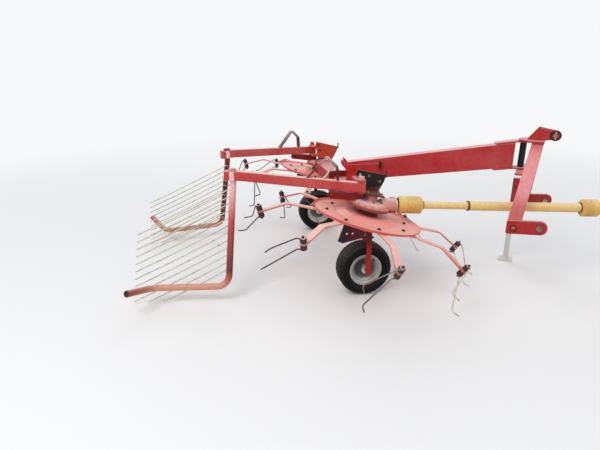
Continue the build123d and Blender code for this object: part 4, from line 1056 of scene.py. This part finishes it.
# %% The weld tree
weld_tree, n, given = start_tree("Weld Bead", {"Width": 0.007, "Spacing": 0.0045, "Seed": 3})
line = n.first("GeometryNodeMeshToCurve", Mesh=given["Geometry"])
spots = n.first("GeometryNodeCurveToPoints", {"mode": "LENGTH"}, Curve=line, Length=given["Spacing"])
blob = n.first("GeometryNodeMeshUVSphere", Segments=7, Rings=4, Radius=n.times(given["Width"], 0.5))
chance = n.add("FunctionNodeRandomValue", {"data_type": "FLOAT"}, i2=0.82, i3=1.12, Seed=given["Seed"])
beads = n.first("GeometryNodeInstanceOnPoints", Points=spots, Instance=blob, Scale=chance.outputs[1])
real = n.first("GeometryNodeRealizeInstances", Geometry=beads)
end_tree(n, n.first("GeometryNodeSetShadeSmooth", Geometry=real), given["Finish"])

# %% Where the welds run
tube_back, tube_front, tube_bottom, tube_top = -0.102, 0.028, 0.657, 0.747
frame_welds, head_welds = [], []
arm_welds = {name: [] for name in sides}

for name, side in sides.items():
    frame_welds += [[(x, side * 0.660, z) for x in (-0.127, -0.063)] for z in (0.7877, 0.8823)]
    at = on_gate_arm(side)
    for along, z in ((0.1575, 0.871), (0.1725, 0.871), (0.392, 0.875), (0.410, 0.875)):
        arm_welds[name].append([at(along, across, z) for across in (-0.020, 0.020)])
    for across in (-0.0205, 0.0205):
        arm_welds[name].append([at(along, across, 0.871) for along in (0.158, 0.172)])
    leg_face = side * (half_spacing - 0.030)
    head_welds += [[on_head(x, leg_face, z) for z in (0.520, 0.600)] for x in (-0.006, 0.084)]
    head_welds += [[on_head(x, side * y, 1.1050) for y in (0.060, 0.096)] for x in (0.059, 0.135)]
frame_welds += [[on_beam(0.004, y, z) for z in (0.751, 0.885)] for y in (-0.0455, 0.0455)]
for y in (-0.096, -0.084, -0.336, -0.324):
    frame_welds.append([(tube_back, y, tube_top), (tube_back, y, tube_bottom),
                        (tube_front, y, tube_bottom), (tube_front, y, tube_top)])
for y in (-0.585, 0.585):
    frame_welds.append([(tube_back, y, tube_top), (tube_front, y, tube_top)])
    frame_welds.append([(tube_back, y, tube_bottom), (tube_back, y, tube_top)])

def weld(name, body, lines):
    grow(name, body, weld_tree, lines_mesh(name + ".lines", lines), red)

weld("frame_welds", "frame", frame_welds)
for name, lines in arm_welds.items():
    weld(name + "_arm_welds", name + "_swing_arm", lines)
weld("headstock_welds", "headstock", head_welds)

# %% [markdown]
# ## Painted shade in the grooves
# The bells of the shaft's guard are ribbed, and the grooves get painted shade. It is made of thin
# rings, eight on the rear bell and four on the front one.

# %% Painted shade in the grooves of the shaft's bells
first_groove, groove_step, groove_radius = 0.0505, 0.013, 0.0603
groove_rings = []
for joint_place, way_in, groove_count in ((0.0, 1, 8), (1.450, -1, 4)):
    for index in range(groove_count):
        along = joint_place + way_in * (first_groove + groove_step * index)
        groove_rings.append(ring_line(shaft_start + shaft_way * along, shaft_way, groove_radius, 36))
add_rods("groove_rings", "drive_shaft", groove_rings, 0.0035, 6, groove_shade)

# %% [markdown]
# ## Folded plates and small bars
# Under the root of each gate arm a folded rail reaches back from the tower's shelf. It is a
# channel: two walls and a top, each a flat plate that is drawn as an outline and pushed to its
# thickness. A few short bars go with it: stops on the towers' corners, the peg in the beam's
# rear plate, the lock of the near arm, the stay inside the near hoop, the bush that each gate
# turns in, and a dark disc of painted shade in the open end of the tube at each gate's foot.

# %% Rails under the gate arms
rail_wall, rail_half = 0.005, 0.030
rail_inner = rail_half - rail_wall
# how far forward of the rotor's middle, and how high along its axis
rail_outline = ((-0.0705, 0.172), (-0.0705, 0.131), (-0.100, 0.129), (-0.165, 0.107), (-0.315, 0.092),
                (-0.315, 0.137))

def add_plate(mesh, outline, push):
    """Adds a flat plate: the points of its outline, and the way and distance that it is thick."""
    near_face = [mesh.verts.new(point) for point in outline]
    far_face = [mesh.verts.new(point + push) for point in outline]
    mesh.faces.new(near_face)
    mesh.faces.new(reversed(far_face))
    for index in range(len(outline)):
        after = (index + 1) % len(outline)
        mesh.faces.new((near_face[index], far_face[index], far_face[after], near_face[after]))

for name, side in sides.items():
    channel = bmesh.new()
    for way in (1, -1):
        wall = [in_rotor(side, forward, way * rail_half, rise) for forward, rise in rail_outline]
        add_plate(channel, wall, left * -way * rail_wall)
    lid = [in_rotor(side, forward, across, rise) for (forward, rise), across in (
        (rail_outline[0], -rail_inner), (rail_outline[0], rail_inner),
        (rail_outline[-1], rail_inner), (rail_outline[-1], -rail_inner))]
    add_plate(channel, lid, axis * -rail_wall)
    keep_built(name + "_arm_rail", channel, "frame", painted_shade_red)

# %% Stops, peg, bushes, mouths, stay and lock
def upright(x, y, low, high):
    return [(x, y, low), (x, y, high)]

stops = [upright(0.137, side * 0.654, 0.858, 0.912) for side in sides.values()]
add_rods("corner_stops", "frame", stops, 0.011, 10, black)
peg = [on_beam(*point) for point in upright(0.267, -0.0645, 0.862, 0.918)]
add_rods("beam_peg", "frame", [peg], 0.019, 12, black)
for name, side in sides.items():
    bush = upright(gate_x, side * gate_y, 0.851, 0.919)
    add_rods(name + "_pivot_bush", name + "_swing_arm", [bush], 0.062, 32, bush_paint)
    foot_end = Vector((-1.730, side * 0.844, 0.206))
    foot_way = Vector((-0.140, side * 0.220, 0.078)).normalized()
    # painted shade: a dark disc just inside the tube's open end stands in for its shadowed hollow
    mouth_shade = [foot_end - foot_way * 0.002, foot_end + foot_way * 0.0008]
    add_rods(name + "_foot_mouth_shade", name + "_gate", [mouth_shade], 0.040, 24, black)
at = on_gate_arm(-1)
stay = bend([at(0.191, 0, 0.988), at(0.222, 0, 0.955), at(0.246, 0, 0.905), at(0.292, 0, 0.870)], 0.03)
add_rods("near_hoop_stay", "near_swing_arm", [stay], 0.014, 8, zinc)
add_rods("near_arm_lock", "frame", [upright(-0.067, -0.668, 0.846, 0.902)], 0.018, 12, zinc)

# %% [markdown]
# ## Clips on the pins
# Pins that come out by hand are held by linch pins: a short peg with a spring ring that snaps
# over the pin's end. The stand's pin has a plain wire handle. They are small, but they are the
# parts a driver touches, so they are there.

# %% Linch pins and the stand's pin
hole_from_end = 0.007

def linch_pin(pin_end, pin_way, size):
    """A peg through a pin near its end, and the spring ring that folds over it."""
    up = Vector((0, 0, 1))
    hole = pin_end - pin_way * hole_from_end
    middle = hole + up * size * 0.70
    hoop = [middle + (pin_way * sin(angle) - up * (1 - cos(angle))) * size * 0.72
            for angle in evenly(28)[:26]]
    return [hole - up * size * 0.62, middle], hoop

pin_x, lower_pin_height, top_pin_height = 0.2, 0.577, 1.1553
pegs, hoops = [], []
for side in sides.values():
    pin_end = on_head(pin_x, side * (half_spacing - 0.102), lower_pin_height)
    peg, hoop = linch_pin(pin_end, head_way(0, -side, 0), 0.028)
    pegs.append(peg)
    hoops.append(hoop)
pegs.append([on_head(pin_x, -0.044, top_pin_height + end) for end in (-0.030, 0.034)])
top_ring = ring_line(on_head(pin_x, -0.0445, top_pin_height), head_way(0, 1, 0), 0.032)
add_rods("top_pin_ring", "headstock", [top_ring], 0.011, 10, black)

stand_x, stand_y, stand_pin_height = -0.0335, 0.3975, 0.690
pegs.append([on_head(stand_x, stand_y + end, stand_pin_height) for end in (-0.040, 0.036)])
handle = bend([on_head(stand_x, y, z) for y, z in (
    (0.3575, stand_pin_height), (0.345, stand_pin_height), (0.345, 0.655), (0.330, 0.655))], 0.008)
add_rods("pin_pegs", "headstock", pegs, 0.009, 8, zinc)
add_rods("pin_rings", "headstock", hoops + [handle], 0.0045, 6, black)
